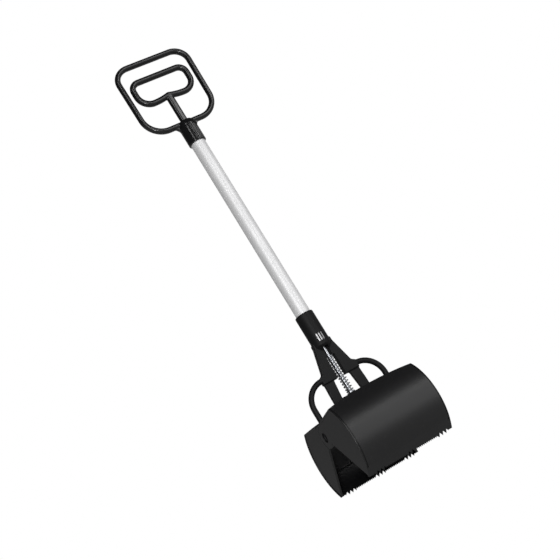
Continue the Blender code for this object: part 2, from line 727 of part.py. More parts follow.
def add_screws(name, socket_radius, heights, parent, material):
    for word, height in zip(("upper", "lower"), sorted(heights, reverse=True)):
        seat = socket_radius - SCREW_SPOT_DEPTH + SCREW_CLEARANCE
        shank, head = SCREW_SHANK_DIAMETER / 2, SCREW_HEAD_DIAMETER / 2
        edge = SCREW_HEAD_HEIGHT / 3
        recess = SCREW_RECESS_DIAMETER / 2
        profile = [(shank - edge, seat - SCREW_SHANK_LENGTH), (shank, seat - SCREW_SHANK_LENGTH + edge),
                   (shank, seat), (head, seat), (head, seat + SCREW_HEAD_HEIGHT - edge),
                   (head - edge, seat + SCREW_HEAD_HEIGHT), (recess, seat + SCREW_HEAD_HEIGHT),
                   (recess, seat + SCREW_HEAD_HEIGHT - SCREW_HEAD_RECESS)]
        screw = turned_solid("Y", profile, SMALL_ROUND_STEPS, (0, height))
        add_mesh(f"{name}_{word}", [screw], parent, material)


def frame_path():
    low, top = FRAME_HALF_WIDTH - FRAME_LOW_RADIUS, FRAME_HALF_WIDTH - FRAME_TOP_RADIUS
    right = arc((low, frame_foot + FRAME_LOW_RADIUS), FRAME_LOW_RADIUS, -math.pi / 2, 0, 8)
    right += arc((top, frame_top - FRAME_TOP_RADIUS), FRAME_TOP_RADIUS, 0, math.pi / 2, 7)
    right = [(x * (1 + FRAME_FLARE_SHARE * (z - frame_foot) / FRAME_HEIGHT), z) for x, z in right]
    return right + [(-x, z) for x, z in reversed(right)]


def trigger_path():
    low, top = trigger_half_width - TRIGGER_LOW_RADIUS, trigger_half_width - TRIGGER_TOP_RADIUS
    steps = 5
    right = []
    for i in range(1, steps):
        right.append((low * i / steps, trigger_foot + TRIGGER_CUSP * (1 - i / steps) ** 2))
    right += arc((low, trigger_foot + TRIGGER_LOW_RADIUS), TRIGGER_LOW_RADIUS, -math.pi / 2, 0, 7)
    right += arc((top, trigger_top - TRIGGER_TOP_RADIUS), TRIGGER_TOP_RADIUS, 0, math.pi / 2, 6)
    return [(0, trigger_foot + TRIGGER_CUSP)] + right + [(-x, z) for x, z in reversed(right)]


def rounded_rectangle(width, depth, corner):
    outline = []
    for x, y, start in ((1, 1, 0), (-1, 1, 1), (-1, -1, 2), (1, -1, 3)):
        centre = (x * (width / 2 - corner), y * (depth / 2 - corner))
        outline += arc(centre, corner, start * math.pi / 2, (start + 1) * math.pi / 2, 3)
    return outline


def add_grip(parent, material):
    radius = GRIP_SOCKET_DIAMETER / 2
    loop = swept(frame_path(), oval(FRAME_BAR_WIDTH, FRAME_BAR_DEPTH), True)
    grip = add_mesh("grip_frame", [loop], parent, material)
    edge = GRIP_SOCKET_DIAMETER / 20
    socket = [(radius - edge / 2, grip_foot), (radius, grip_foot + edge), (radius, frame_foot - edge * 4),
              (radius - edge * 2, frame_foot + FRAME_BAR_WIDTH / 4)]
    join(grip, "socket", [turned_solid("Z", socket, ROUND_STEPS)])
    root = radius - edge * 2
    turns = [math.pi / 2 * i / GUSSET_STEPS for i in range(GUSSET_STEPS + 1)]
    gusset = [(GUSSET_ASIDE - (GUSSET_ASIDE - root) * math.cos(turn),
               frame_foot - GUSSET_LENGTH * (1 - math.sin(turn))) for turn in turns]
    gusset.append((radius - edge * 4, frame_foot))
    join(grip, "gussets", both_sides(prism(gusset, "Y", -GUSSET_DEPTH / 2, GUSSET_DEPTH / 2)))
    ribs = []
    for i in range(GRIP_RIB_COUNT):
        angle = GRIP_RIB_SPACING * (i - (GRIP_RIB_COUNT - 1) / 2)
        out = np.array([math.sin(angle), -math.cos(angle)])
        across = np.array([math.cos(angle), math.sin(angle)])
        near, far = out * (tube_radius + edge), out * (radius + GRIP_RIB_HEIGHT)
        half = across * GRIP_RIB_WIDTH / 2
        outline = [near - half, near + half, far + half, far - half]
        ribs.append(prism(outline, "Z", frame_foot - GRIP_RIB_LENGTH, frame_foot - FRAME_BAR_WIDTH))
    join(grip, "ribs", ribs)
    bore = rod("Z", tube_radius + TUBE_CLEARANCE, grip_foot - OVERRUN,
               frame_foot - GRIP_SOCKET_SHOULDER, steps=ROUND_STEPS)
    cut(grip, "tube_bore", [bore])
    hole = rounded_rectangle(STEM_WIDTH + 2 * STEM_CLEARANCE, STEM_DEPTH + 2 * STEM_CLEARANCE,
                             STEM_DEPTH / 4)
    hole_top = frame_foot + FRAME_BAR_WIDTH + OVERRUN
    cut(grip, "stem_hole", [prism(hole, "Z", tube_top - OVERRUN, hole_top)])
    spots, holes = screw_spots(radius, grip_screw_heights)
    cut(grip, "screw_spots", spots)
    cut(grip, "screw_holes", holes)


def add_trigger(parent, material):
    loop = swept(trigger_path(), oval(TRIGGER_BAR_WIDTH, TRIGGER_BAR_DEPTH), True)
    trigger = add_mesh("trigger", [loop], parent, material)
    outline = rounded_rectangle(STEM_WIDTH, STEM_DEPTH, STEM_DEPTH / 4)
    join(trigger, "stem", [prism(outline, "Z", stem_foot, trigger_foot + TRIGGER_CUSP)])
    bore = rod("Z", ROD_DIAMETER / 2 + ROD_CLEARANCE, stem_foot - OVERRUN, stem_foot + ROD_IN_STEM)
    cut(trigger, "rod_bore", [bore])
    hole = rod("Y", ROD_PIN_DIAMETER / 2 + ROD_CLEARANCE, -STEM_DEPTH, STEM_DEPTH,
               (0, stem_foot + ROD_IN_STEM / 2))
    cut(trigger, "pin_hole", [hole])


def add_rod(parent, steel):
    foot = crosshead_top - ROD_SEAT_DEPTH + SEAT_GAP
    top = stem_foot + ROD_IN_STEM - SEAT_GAP
    radius, edge = ROD_DIAMETER / 2, ROD_DIAMETER / 12
    profile = [(radius - edge, foot), (radius, foot + edge), (radius, top - edge), (radius - edge, top)]
    pull_rod = add_mesh("pull_rod", [turned_solid("Z", profile, 20)], parent, steel)
    height = stem_foot + ROD_IN_STEM / 2
    hole = rod("Y", ROD_PIN_DIAMETER / 2 + ROD_CLEARANCE, -ROD_DIAMETER, ROD_DIAMETER, (0, height))
    cut(pull_rod, "pin_hole", [hole])
    half = STEM_DEPTH / 2 - SEAT_GAP
    add_mesh("rod_pin", [rod("Y", ROD_PIN_DIAMETER / 2, -half, half, (0, height))], parent, steel)


def add_crosshead(parent, plastic, steel):
    radius, edge = CROSSHEAD_DIAMETER / 2, CROSSHEAD_DIAMETER / 12
    foot = CROSS_PIN_OPEN_HEIGHT - CROSSHEAD_BELOW_PIN
    profile = [(radius - edge, foot), (radius, foot + edge), (radius, crosshead_top)]
    crosshead = add_mesh("crosshead", [turned_solid("Z", profile, 24)], parent, plastic)
    seat_foot, seat_radius = crosshead_top - ROD_SEAT_DEPTH, ROD_DIAMETER / 2 + ROD_CLEARANCE
    cut(crosshead, "rod_seat", [rod("Z", seat_radius, seat_foot, crosshead_top + OVERRUN)])
    pin = CROSS_PIN_DIAMETER / 2
    hole = rod("X", pin + PIN_CLEARANCE, -radius - OVERRUN, radius + OVERRUN, (0, CROSS_PIN_OPEN_HEIGHT))
    cut(crosshead, "pin_hole", [hole])
    edge = pin / 6
    profile = [(pin - edge, -cross_pin_half_length), (pin, edge - cross_pin_half_length),
               (pin, cross_pin_half_length - edge), (pin - edge, cross_pin_half_length)]
    cross_pin = turned_solid("X", profile, SMALL_ROUND_STEPS, (0, CROSS_PIN_OPEN_HEIGHT))
    add_mesh("cross_pin", [cross_pin], parent, steel)


def washer(foot):
    hole = ROD_DIAMETER / 2 + ROD_CLEARANCE
    profile = [(hole, foot), (WASHER_DIAMETER / 2, foot), (WASHER_DIAMETER / 2, foot + WASHER_THICKNESS),
               (hole, foot + WASHER_THICKNESS)]
    return turned("Z", profile, 24)


def add_bush(parent, material):
    foot = tube_foot + BUSH_ABOVE_TUBE_END
    hole, outside = ROD_DIAMETER / 2 + ROD_CLEARANCE, tube_bore_radius - SEAT_GAP / 2
    waist = outside - BUSH_FLANGE
    top = foot + BUSH_LENGTH
    profile = [(hole, foot), (outside, foot), (outside, foot + BUSH_FLANGE), (waist, foot + BUSH_FLANGE),
               (waist, top - BUSH_FLANGE), (outside, top - BUSH_FLANGE), (outside, top), (hole, top)]
    add_mesh("rod_bush", [turned("Z", profile, 24)], parent, material)


def add_spring(parent, material):
    """The return spring as one wire: dead turns lie almost closed at each end."""
    low = crosshead_top + SEAT_GAP + WASHER_THICKNESS + SEAT_GAP
    high = SPRING_SLOT_TOP - SEAT_GAP - WASHER_THICKNESS - SEAT_GAP
    radius = (SPRING_DIAMETER - SPRING_WIRE) / 2
    dead_pitch = SPRING_WIRE + SPRING_DEAD_GAP
    foot, top = low + SPRING_WIRE, high - SPRING_WIRE
    live_pitch = (top - foot - 2 * SPRING_DEAD_TURNS * dead_pitch) / (SPRING_TURNS - 2 * SPRING_DEAD_TURNS)
    turns = [0, SPRING_DEAD_TURNS, SPRING_TURNS - SPRING_DEAD_TURNS, SPRING_TURNS]
    heights = [foot, foot + SPRING_DEAD_TURNS * dead_pitch, top - SPRING_DEAD_TURNS * dead_pitch, top]
    points = [(radius, 0, low)]
    for i in range(SPRING_TURNS * SPRING_POINTS + 1):
        turn = i / SPRING_POINTS
        angle = 2 * math.pi * turn
        height = float(np.interp(turn, turns, heights))
        points.append((radius * math.cos(angle), radius * math.sin(angle), height))
    points.append((radius, 0, high))
    curve = bpy.data.curves.new("return_spring", "CURVE")
    curve.dimensions = "3D"
    curve.bevel_depth = SPRING_WIRE / 2
    curve.bevel_resolution = 1
    curve.use_fill_caps = True
    spline = curve.splines.new("POLY")
    spline.points.add(len(points) - 1)
    for point, place_of in zip(spline.points, points):
        point.co = (*place_of, 1)
    curve.materials.append(material)
    spring = bpy.data.objects.new("return_spring", curve)
    spring.parent = parent
    bpy.context.scene.collection.objects.link(spring)

    line = np.array(points)
    apart = np.linalg.norm(line[:, None] - line[None], axis=2)
    far = abs(np.subtract.outer(range(len(line)), range(len(line)))) > SPRING_POINTS / 2
    millimetres = 1000 * (apart[far].min() - SPRING_WIRE)
    print(f"return_spring: live pitch {1000 * live_pitch:.2f} mm, least gap to itself {millimetres:.2f} mm")


def lowest_tooth():
    """How far the open jaws' tooth tips reach below the hinge pin's axis."""
    reach = []
    for depth in (0.0, JAW_WALL):
        aside, height = lip_point((TOOTH_GAP - LARGE_TOOTH_LENGTH) / 2, depth)
        reach.append(height * math.cos(JAW_OPENING) + aside * math.sin(JAW_OPENING))
    return -min(reach)


def main():
    for obj in list(bpy.data.objects):
        bpy.data.objects.remove(obj, do_unlink=True)

    black = add_material("black_abs", (0.020, 0.020, 0.021), 0.42)
    aluminium = add_material("anodised_aluminium", (0.62, 0.62, 0.63), 0.32, 1.0)
    steel = add_material("plated_steel", (0.55, 0.55, 0.56), 0.25, 1.0)
    black_steel = add_material("black_oxide_steel", (0.05, 0.05, 0.052), 0.4, 1.0)
    nylon = add_material("dark_nylon", (0.045, 0.045, 0.046), 0.5)

    hinge_height = lowest_tooth()
    body = add_empty("frame_group", hinge_height)
    puller = add_empty("puller_group", hinge_height)
    front = add_empty("front_jaw_hinge", hinge_height, -JAW_OPENING)
    rear = add_empty("rear_jaw_hinge", hinge_height, JAW_OPENING)

    add_jaw("jaw_front", -1, front, black)
    add_jaw("jaw_rear", 1, rear, black)
    add_hinge_pin(body, black_steel)
    add_fork(body, black)
    add_tube(body, aluminium)
    add_screws("fork_screw", NECK_DIAMETER / 2, fork_screw_heights, body, steel)
    add_grip(body, black)
    add_screws("grip_screw", GRIP_SOCKET_DIAMETER / 2, grip_screw_heights, body, steel)
    add_bush(body, nylon)
    add_mesh("spring_washer_upper", [washer(SPRING_SLOT_TOP - SEAT_GAP - WASHER_THICKNESS)], body, steel)
    add_spring(body, steel)
    add_trigger(puller, black)
    add_rod(puller, steel)
    add_crosshead(puller, nylon, steel)
    add_mesh("spring_washer_lower", [washer(crosshead_top + SEAT_GAP)], puller, steel)

    print(f"hinge pin at {1000 * hinge_height:.2f} mm, grip top at "
          f"{1000 * (hinge_height + frame_top + FRAME_BAR_WIDTH / 2):.2f} mm")


main()
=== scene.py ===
# Pooper scooper: the looks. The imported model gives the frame, and each piece here stands for one
# or more of its solids. Lengths are metres. Places are measured from the hinge pin's axis, and
# +Z runs up the tube. Each piece's sizes stand above its code. The places that several pieces share
# are worked out from them after the last piece's code, just before the pieces are made.

import json
import math

import bmesh
import bpy
import numpy as np
from mathutils import Matrix, Vector


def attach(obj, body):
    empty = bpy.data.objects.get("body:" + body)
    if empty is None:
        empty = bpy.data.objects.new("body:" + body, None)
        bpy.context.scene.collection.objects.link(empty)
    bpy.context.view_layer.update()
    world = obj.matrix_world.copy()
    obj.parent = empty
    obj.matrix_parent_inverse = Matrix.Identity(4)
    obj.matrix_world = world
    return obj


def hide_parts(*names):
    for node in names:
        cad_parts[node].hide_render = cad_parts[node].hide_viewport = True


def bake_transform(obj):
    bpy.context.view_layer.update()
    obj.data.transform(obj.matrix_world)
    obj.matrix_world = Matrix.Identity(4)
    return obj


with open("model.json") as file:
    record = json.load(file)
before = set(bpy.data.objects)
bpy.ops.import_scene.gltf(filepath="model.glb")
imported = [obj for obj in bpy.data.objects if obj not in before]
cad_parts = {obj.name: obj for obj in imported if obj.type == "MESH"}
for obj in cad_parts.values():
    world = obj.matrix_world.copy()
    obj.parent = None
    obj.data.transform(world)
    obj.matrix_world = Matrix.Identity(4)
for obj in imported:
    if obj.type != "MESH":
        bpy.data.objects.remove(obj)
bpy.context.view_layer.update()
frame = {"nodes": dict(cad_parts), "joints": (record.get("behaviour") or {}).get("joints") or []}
print("loaded", len(frame["nodes"]), "solids")

hingeHeight = next(j for j in frame["joints"] if j["name"] == "front_jaw_hinge")["pos_m"][2]
overrun = 0.004       # how far a cut runs past the wall it cuts
seatGap = 0.0003      # left between pieces that rest on each other
sharpAngle = math.radians(34)
wideSteps = 96        # facets round the tube and the sockets that hold it
fineSteps = 48        # facets round pins, holes and screws
ovalSteps = 32        # facets round the grip's and the trigger's bars and the hoops


# Materials

scuffRange = (0.58, 0.78)       # the part of the noise that shows as scuffs
plasticIor = 1.53               # ABS and nylon alike


def hexColour(text):
    channels = [int(text[i:i + 2], 16) / 255 for i in (0, 2, 4)]
    linear = [c / 12.92 if c <= 0.04045 else ((c + 0.055) / 1.055) ** 2.4 for c in channels]
    return (*linear, 1.0)


def addNode(tree, kind, values=None, links=None, **settings):
    node = tree.nodes.new(kind)
    for key, value in settings.items():
        setattr(node, key, value)
    for key, value in (values or {}).items():
        node.inputs[key].default_value = value
    for key, source in (links or {}).items():
        tree.links.new(source, node.inputs[key])
    return node


def startMaterial(name, look, detail):
    # Every finish here drifts between two near tones, and "drift" is the size of its patches.
    material = bpy.data.materials.new(name)
    material.use_nodes = True
    tree = material.node_tree
    place = addNode(tree, "ShaderNodeTexCoord").outputs["Object"]
    drift = addNode(tree, "ShaderNodeTexNoise", {"Scale": 1 / look["drift"], "Detail": detail},
                    {"Vector": place}).outputs["Fac"]
    tones = {"A": hexColour(look["dark"]), "B": hexColour(look["light"])}
    tone = addNode(tree, "ShaderNodeMix", tones, {"Factor": drift}, data_type="RGBA").outputs["Result"]
    return material, tree, place, drift, tone


def finishMaterial(material, look, colour, spread, relief, constants):
    # The roughness runs over its range by spread, and relief is the height that a bump follows.
    tree = material.node_tree
    shader = tree.nodes["Principled BSDF"]
    low, high = look["roughness"]
    rough = addNode(tree, "ShaderNodeMapRange", {"To Min": low, "To Max": high}, {"Value": spread})
    tree.links.new(colour, shader.inputs["Base Color"])
    tree.links.new(rough.outputs["Result"], shader.inputs["Roughness"])
    if relief is not None:
        bump = addNode(tree, "ShaderNodeBump", {
            "Strength": look["reliefStrength"], "Distance": look["reliefDepth"]}, {"Height": relief})
        tree.links.new(bump.outputs["Normal"], shader.inputs["Normal"])
    for key, value in constants.items():
        shader.inputs[key].default_value = value
    return material


def mouldedPlastic(name, look):
    # Injection-moulded ABS or nylon. The tool's spark-eroded grain breaks up the gloss, the melt's
    # flow leaves faint cloudy patches, and handling leaves paler scuffs.
    material, tree, place, _, body = startMaterial(name, look, detail=3.0)
    scuffs = addNode(tree, "ShaderNodeTexNoise", {
        "Scale": 1 / look["scuff"], "Detail": 6.0, "Roughness": 0.7}, {"Vector": place}).outputs["Fac"]
    low, high = scuffRange
    scuffed = addNode(tree, "ShaderNodeMapRange", {"From Min": low, "From Max": high}, {"Value": scuffs})
    colour = addNode(tree, "ShaderNodeMix", {"B": hexColour(look["scuffColour"])},
                     {"Factor": scuffed.outputs["Result"], "A": body}, data_type="RGBA")
    grain = addNode(tree, "ShaderNodeTexNoise", {"Scale": 1 / look["grain"], "Detail": 2.0},
                    {"Vector": place})
    return finishMaterial(material, look, colour.outputs["Result"], scuffs, grain.outputs["Fac"], {
        "IOR": plasticIor, "Specular IOR Level": look["specular"]})


def drawnAluminium(name, look):
    # Drawn aluminium tube with a clear satin anodising: pale, with soft highlights and fine lines
    # along its length. The lines are drawn 0.5 mm apart, coarser than real ones, so that they show.
    material, tree, place, _, tone = startMaterial(name, look, detail=2.0)
    along = addNode(tree, "ShaderNodeMapping", {"Scale": (1.0, 1.0, look["lineStretch"])}, {"Vector": place})
    lines = addNode(tree, "ShaderNodeTexNoise", {"Scale": 1 / look["lineSpacing"], "Detail": 4.0},
                    {"Vector": along.outputs["Vector"]}).outputs["Fac"]
    return finishMaterial(material, look, tone, lines, lines, {"Metallic": look["metallic"]})


def bathFinishedSteel(name, look):
    # Steel finished in a bath, which leaves it slightly cloudy: bright zinc is bluish grey and shiny,
    # black oxide is dark and dull.
    material, _, _, drift, tone = startMaterial(name, look, detail=5.0)
    return finishMaterial(material, look, tone, drift, None, {"Metallic": 1.0})


finishes = {
    "jaw_plastic": mouldedPlastic("satinMouldedAbs", {
        "dark": "121213", "light": "161617", "scuffColour": "1E1E1F", "drift": 0.045, "scuff": 0.006,
        "roughness": (0.33, 0.43), "specular": 0.5,
        "grain": 0.0007, "reliefStrength": 0.25, "reliefDepth": 0.00006}),
    "fork_plastic": mouldedPlastic("mattMouldedAbs", {
        "dark": "0E0E0F", "light": "131314", "scuffColour": "1C1C1D", "drift": 0.02, "scuff": 0.004,
        "roughness": (0.46, 0.60), "specular": 0.2,
        "grain": 0.0006, "reliefStrength": 0.3, "reliefDepth": 0.00006}),
    "grip_plastic": mouldedPlastic("polishedMouldedAbs", {
        "dark": "0F0F10", "light": "131314", "scuffColour": "1A1A1B", "drift": 0.02, "scuff": 0.014,
        "roughness": (0.16, 0.22), "specular": 0.5,
        "grain": 0.0009, "reliefStrength": 0.03, "reliefDepth": 0.00004}),
    "nylon": mouldedPlastic("darkMouldedNylon", {
        "dark": "2B2B2C", "light": "353536", "scuffColour": "434344", "drift": 0.008, "scuff": 0.002,
        "roughness": (0.45, 0.60), "specular": 0.4,
        "grain": 0.0005, "reliefStrength": 0.3, "reliefDepth": 0.00004}),
    "tube_aluminium": drawnAluminium("satinAnodisedAluminium", {
        "dark": "DCDCDD", "light": "ECECED", "drift": 0.03, "roughness": (0.44, 0.56), "metallic": 0.4,
        "lineSpacing": 0.0005, "lineStretch": 0.02, "reliefStrength": 0.05, "reliefDepth": 0.00004}),
    "zinc_steel": bathFinishedSteel("brightZincPlatedSteel", {
        "dark": "A9ACB0", "light": "C6C8CC", "drift": 0.0025, "roughness": (0.16, 0.30)}),
    "black_steel": bathFinishedSteel("blackOxideSteel", {
        "dark": "2A2A2C", "light": "38383A", "drift": 0.002, "roughness": (0.35, 0.50)}),
}
print("materials made")


# Mesh tools

def newObject(name, data):
    obj = bpy.data.objects.new(name, data)
    bpy.context.scene.collection.objects.link(obj)
    return obj


def meshObject(name, points, faces, mergeWithin=None):
    mesh = bpy.data.meshes.new(name)
    mesh.from_pydata([tuple(p) for p in points], [], faces)
    made = bmesh.new()
    made.from_mesh(mesh)
    if mergeWithin:
        bmesh.ops.remove_doubles(made, verts=made.verts, dist=mergeWithin)
    bmesh.ops.recalc_face_normals(made, faces=made.faces)
    made.to_mesh(mesh)
    made.free()
    return newObject(name, mesh)


def onAxis(axis, across, up, along):
    return {"X": (along, across, up), "Y": (across, along, up), "Z": (across, up, along)}[axis]


def onCircle(centre, radius, angles):
    return [(centre[0] + radius * math.cos(a), centre[1] + radius * math.sin(a)) for a in angles]


def arc(centre, radius, start, end, steps):
    return onCircle(centre, radius, [start + (end - start) * i / steps for i in range(steps + 1)])


def oval(width, depth):
    turns = [2 * math.pi * i / ovalSteps for i in range(ovalSteps)]
    return [(width / 2 * math.cos(a), depth / 2 * math.sin(a)) for a in turns]


def roundedRectangle(width, depth, corner):
    outline = []
    for x, y, start in ((1, 1, 0), (-1, 1, 1), (-1, -1, 2), (1, -1, 3)):
        centre = (x * (width / 2 - corner), y * (depth / 2 - corner))
        outline += arc(centre, corner, start * math.pi / 2, (start + 1) * math.pi / 2, 8)
    return outline


def bothHalves(half):
    # A symmetrical outline, from the points of its right half in their order.
    return [(-x, z) for x, z in half] + half[::-1]


def prism(outline, axis, low, high):
    count = len(outline)
    points = [onAxis(axis, a, b, level) for level in (low, high) for a, b in outline]
    faces = [list(range(count)), list(range(count, 2 * count))]
    faces += [[i, (i + 1) % count, count + (i + 1) % count, count + i] for i in range(count)]
    return points, faces


def rod(axis, radius, low, high, centre=(0, 0), steps=fineSteps):
    outline = onCircle(centre, radius, [2 * math.pi * (i + 0.5) / steps for i in range(steps)])
    return prism(outline, axis, low, high)


def skin(rings, size, closed):
    # Quads between neighbouring rings of points, and an end face at each end unless they close.
    faces = []
    for i in range(rings if closed else rings - 1):
        this, after = i * size, (i + 1) % rings * size
        faces += [[this + j, this + (j + 1) % size, after + (j + 1) % size, after + j] for j in range(size)]
    if not closed:
        faces += [list(range(size)), list(range((rings - 1) * size, rings * size))]
    return faces


def turned(axis, profile, steps=fineSteps, centre=(0, 0), hollow=False):
    # profile is (radius, along). A hollow one closes on itself, and a solid one gets flat ends.
    count = len(profile)
    points = []
    for i in range(steps):
        cos, sin = math.cos(2 * math.pi * i / steps), math.sin(2 * math.pi * i / steps)
        points += [onAxis(axis, centre[0] + radius * cos, centre[1] + radius * sin, along)
                   for radius, along in profile]
    faces = skin(steps, count, True)
    if not hollow:
        faces = [face for i, face in enumerate(faces) if i % count != count - 1]
        faces += [[i * count + end for i in range(steps)] for end in (0, count - 1)]
    return points, faces


def swept(path, section, closed):
    # A bar along a path of (x, z). Its section is (across, depth).
    count, points = len(path), []
    for i, (x, z) in enumerate(path):
        before = path[i - 1] if closed or i else path[i]
        after = path[(i + 1) % count] if closed or i < count - 1 else path[i]
        run = np.array([after[0] - before[0], after[1] - before[1]])
        run /= np.linalg.norm(run)
        points += [(x - run[1] * across, depth, z + run[0] * across) for across, depth in section]
    return points, skin(count, len(section), closed)


def bothSides(shape):
    return [shape, ([(-x, y, z) for x, y, z in shape[0]], shape[1])]


def gathered(shapes):
    points, faces = [], []
    for shapePoints, shapeFaces in shapes:
        first = len(points)
        points += list(shapePoints)
        faces += [[first + i for i in face] for face in shapeFaces]
    return points, faces


def bake(obj):
    # Applies the modifiers, so that the piece is a plain mesh.
    graph = bpy.context.evaluated_depsgraph_get()
    graph.update()
    old = obj.data
    mesh = bpy.data.meshes.new_from_object(obj.evaluated_get(graph), depsgraph=graph)
    obj.modifiers.clear()
    obj.data = mesh
    bpy.data.meshes.remove(old)
    return obj


def combine(obj, shapes, operation):
    other = meshObject(obj.name + "Tool", *gathered(shapes))
    modifier = obj.modifiers.new("combine", "BOOLEAN")
    modifier.operation = operation
    modifier.object = other
    bake(obj)
    bpy.data.objects.remove(other)


def join(obj, shapes):
    combine(obj, shapes, "UNION")


def cut(obj, shapes):
    combine(obj, shapes, "DIFFERENCE")


def plate(outline, axis, low, high, rounding):
    # An outline given some thickness, with its edges rounded over.
    curve = bpy.data.curves.new("plate", "CURVE")
    curve.dimensions = "2D"
    curve.fill_mode = "BOTH"
    spline = curve.splines.new("POLY")
    spline.points.add(len(outline) - 1)
    spline.use_cyclic_u = True
    for point, (a, b) in zip(spline.points, outline):
        point.co = (a, b, 0, 1)
    curve.extrude = (high - low) / 2 - rounding
    curve.bevel_depth = rounding
    curve.bevel_resolution = 2
    curve.offset = -rounding
    flat = newObject("plate", curve)
    graph = bpy.context.evaluated_depsgraph_get()
    mesh = bpy.data.meshes.new_from_object(flat.evaluated_get(graph), depsgraph=graph)
    bpy.data.objects.remove(flat)
    middle = (low + high) / 2
    points = [onAxis(axis, v.co.x, v.co.y, middle + v.co.z) for v in mesh.vertices]
    merged = meshObject("plate", points, [list(p.vertices) for p in mesh.polygons], mergeWithin=1e-6)
    shape = ([tuple(v.co) for v in merged.data.vertices], [list(p.vertices) for p in merged.data.polygons])
    bpy.data.objects.remove(merged)
    return shape


def mouldTogether(obj, voxel, smoothing):
    # Fuses overlapping shapes into one skin and softens where they meet, as a mould's fillets do.
    remesh = obj.modifiers.new("fuse", "REMESH")
    remesh.mode = "VOXEL"
    remesh.voxel_size = voxel
    smooth = obj.modifiers.new("soften", "SMOOTH")
    smooth.factor = 0.5
    smooth.iterations = smoothing
    bake(obj)


def finishPiece(obj, body, slot, *nodes):
    obj.data.transform(Matrix.Translation((0, 0, hingeHeight)))
    obj.data.shade_smooth()
    obj.data.set_sharp_from_angle(angle=sharpAngle)
    # Large flat faces keep their own direction, so their shading stays even.
    weighted = obj.modifiers.new("evenShading", "WEIGHTED_NORMAL")
    weighted.keep_sharp = True
    bake(obj)
    obj.data.materials.clear()
    obj.data.materials.append(finishes[slot])
    if body:
        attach(obj, body)
    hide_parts(*nodes)
    print(obj.name, "has", sum(len(p.vertices) - 2 for p in obj.data.polygons), "triangles")


# Jaws. Each is worked out with the mouth shut, then swung open about the hinge pin. A point of
# their section is (aside, height), and an angle there is measured up from level.

jaw = {
    "length": 0.132,
    "radius": 0.0625,
    "centreAside": 0.004,
    "centreDrop": 0.038,
    "wall": 0.0022,
    "opening": math.radians(42),
    "ridgeAngle": math.radians(10),
    "ridgeCrown": math.radians(9),
    "lastArcAngle": math.radians(-80),
    "roofEdgeAside": 0.0136,
    "roofEdgeHeight": 0.020,
    "ledgeAngle": math.radians(-56),
    "ledgeDepth": 0.0035,
    "ledgeThickness": 0.0024,
    "edgeRound": 0.0005,
    "capThickness": 0.003,
    "capRim": 0.0008,
    "seamWidth": 0.002,
    "seamDepth": 0.0011,
    "mouthGap": 0.0006,
    "hubRadius": 0.016,
    "camHubRadius": 0.008,
    "endEarRadius": 0.009,
    "earFootRadius": 0.0035,
    "earThickness": 0.004,
    "slotClearance": 0.0003,
    "slotWall": 0.0032,
    "steps": {                    # how finely each part is drawn
        "stations": 40, "arc": 44, "belowLedge": 10, "aboveLedge": 30, "seam": 51, "hub": 60,
        "earReach": 20, "earRound": 160, "slot": 24, "slotEnd": 16},
}

teeth = {
    "gap": 0.0012,
    "largePitch": 0.0055,
    "largeLength": 0.0066,
    "largeInGroup": 3,
    "groupFromEnd": 0.00825,
    "smallPitch": 0.00275,
    "smallLength": 0.0022,
    "tipShare": 0.74,
}


def shutPoint(aside, height):
    cos, sin = math.cos(jaw["opening"]), math.sin(jaw["opening"])
    return aside * cos + height * sin, height * cos - aside * sin


def wallPoint(angle, depth=0.0):
    radius = jaw["radius"] - depth
    return (jaw["centreAside"] + radius * math.cos(angle), radius * math.sin(angle) - jaw["centreDrop"])


def ridgeAngleAt(x):
    return jaw["ridgeAngle"] + jaw["ridgeCrown"] * (1 - (x / halfLength) ** 2)


def roofDirections(ridgeAngle):
    out = np.array(wallPoint(ridgeAngle)) - roofEdge
    out /= np.linalg.norm(out)
    return out, np.array([out[1], -out[0]])


def ridgePoint(ridgeAngle, depth):
    _, down = roofDirections(ridgeAngle)
    inward = -np.array([math.cos(ridgeAngle), math.sin(ridgeAngle)])
    return tuple(np.array(wallPoint(ridgeAngle)) + depth * (inward + down) / (1 + inward @ down))


def roofEdgePoint(ridgeAngle, depth):
    return tuple(roofEdge + depth * roofDirections(ridgeAngle)[1])


def lipLine(depth):
    start, end = np.array(wallPoint(jaw["lastArcAngle"])), np.array(wallPoint(-math.pi / 2))
    run = (end - start) / np.linalg.norm(end - start)
    return start + depth * np.array([run[1], -run[0]]), run


def lipFoot(depth):
    return tuple(lipLine(depth)[0])


def lipPoint(aside, depth):
    start, run = lipLine(depth)
    return tuple(start + run * (aside - start[0]) / run[0])


def toothLine():
    # The zigzag (x, y) that the two jaws share when the mouth is shut, straight across the caps.
    groupHalf = teeth["largeInGroup"] * teeth["largePitch"] / 2
    spacing = halfLength - teeth["groupFromEnd"] - groupHalf
    runs, start = [], -teethEnd
    for middle in (-spacing, 0.0, spacing):
        runs.append((start, middle - groupHalf, teeth["smallPitch"], teeth["smallLength"]))
        runs.append((middle - groupHalf, middle + groupHalf, teeth["largePitch"], teeth["largeLength"]))
        start = middle + groupHalf
    runs.append((start, teethEnd, teeth["smallPitch"], teeth["smallLength"]))
    line = [(-halfLength, 0.0), (-teethEnd, 0.0)]
    for low, high, pitch, length in runs:
        count = max(1, round((high - low) / pitch))
        step = (high - low) / count
        for i in range(count):
            begin = low + i * step
            line.append((begin + step * teeth["tipShare"], length / 2))
            line.append((begin + step * (1 + teeth["tipShare"]) / 2, -length / 2))
    return line + [(teethEnd, 0.0), (halfLength, 0.0)]


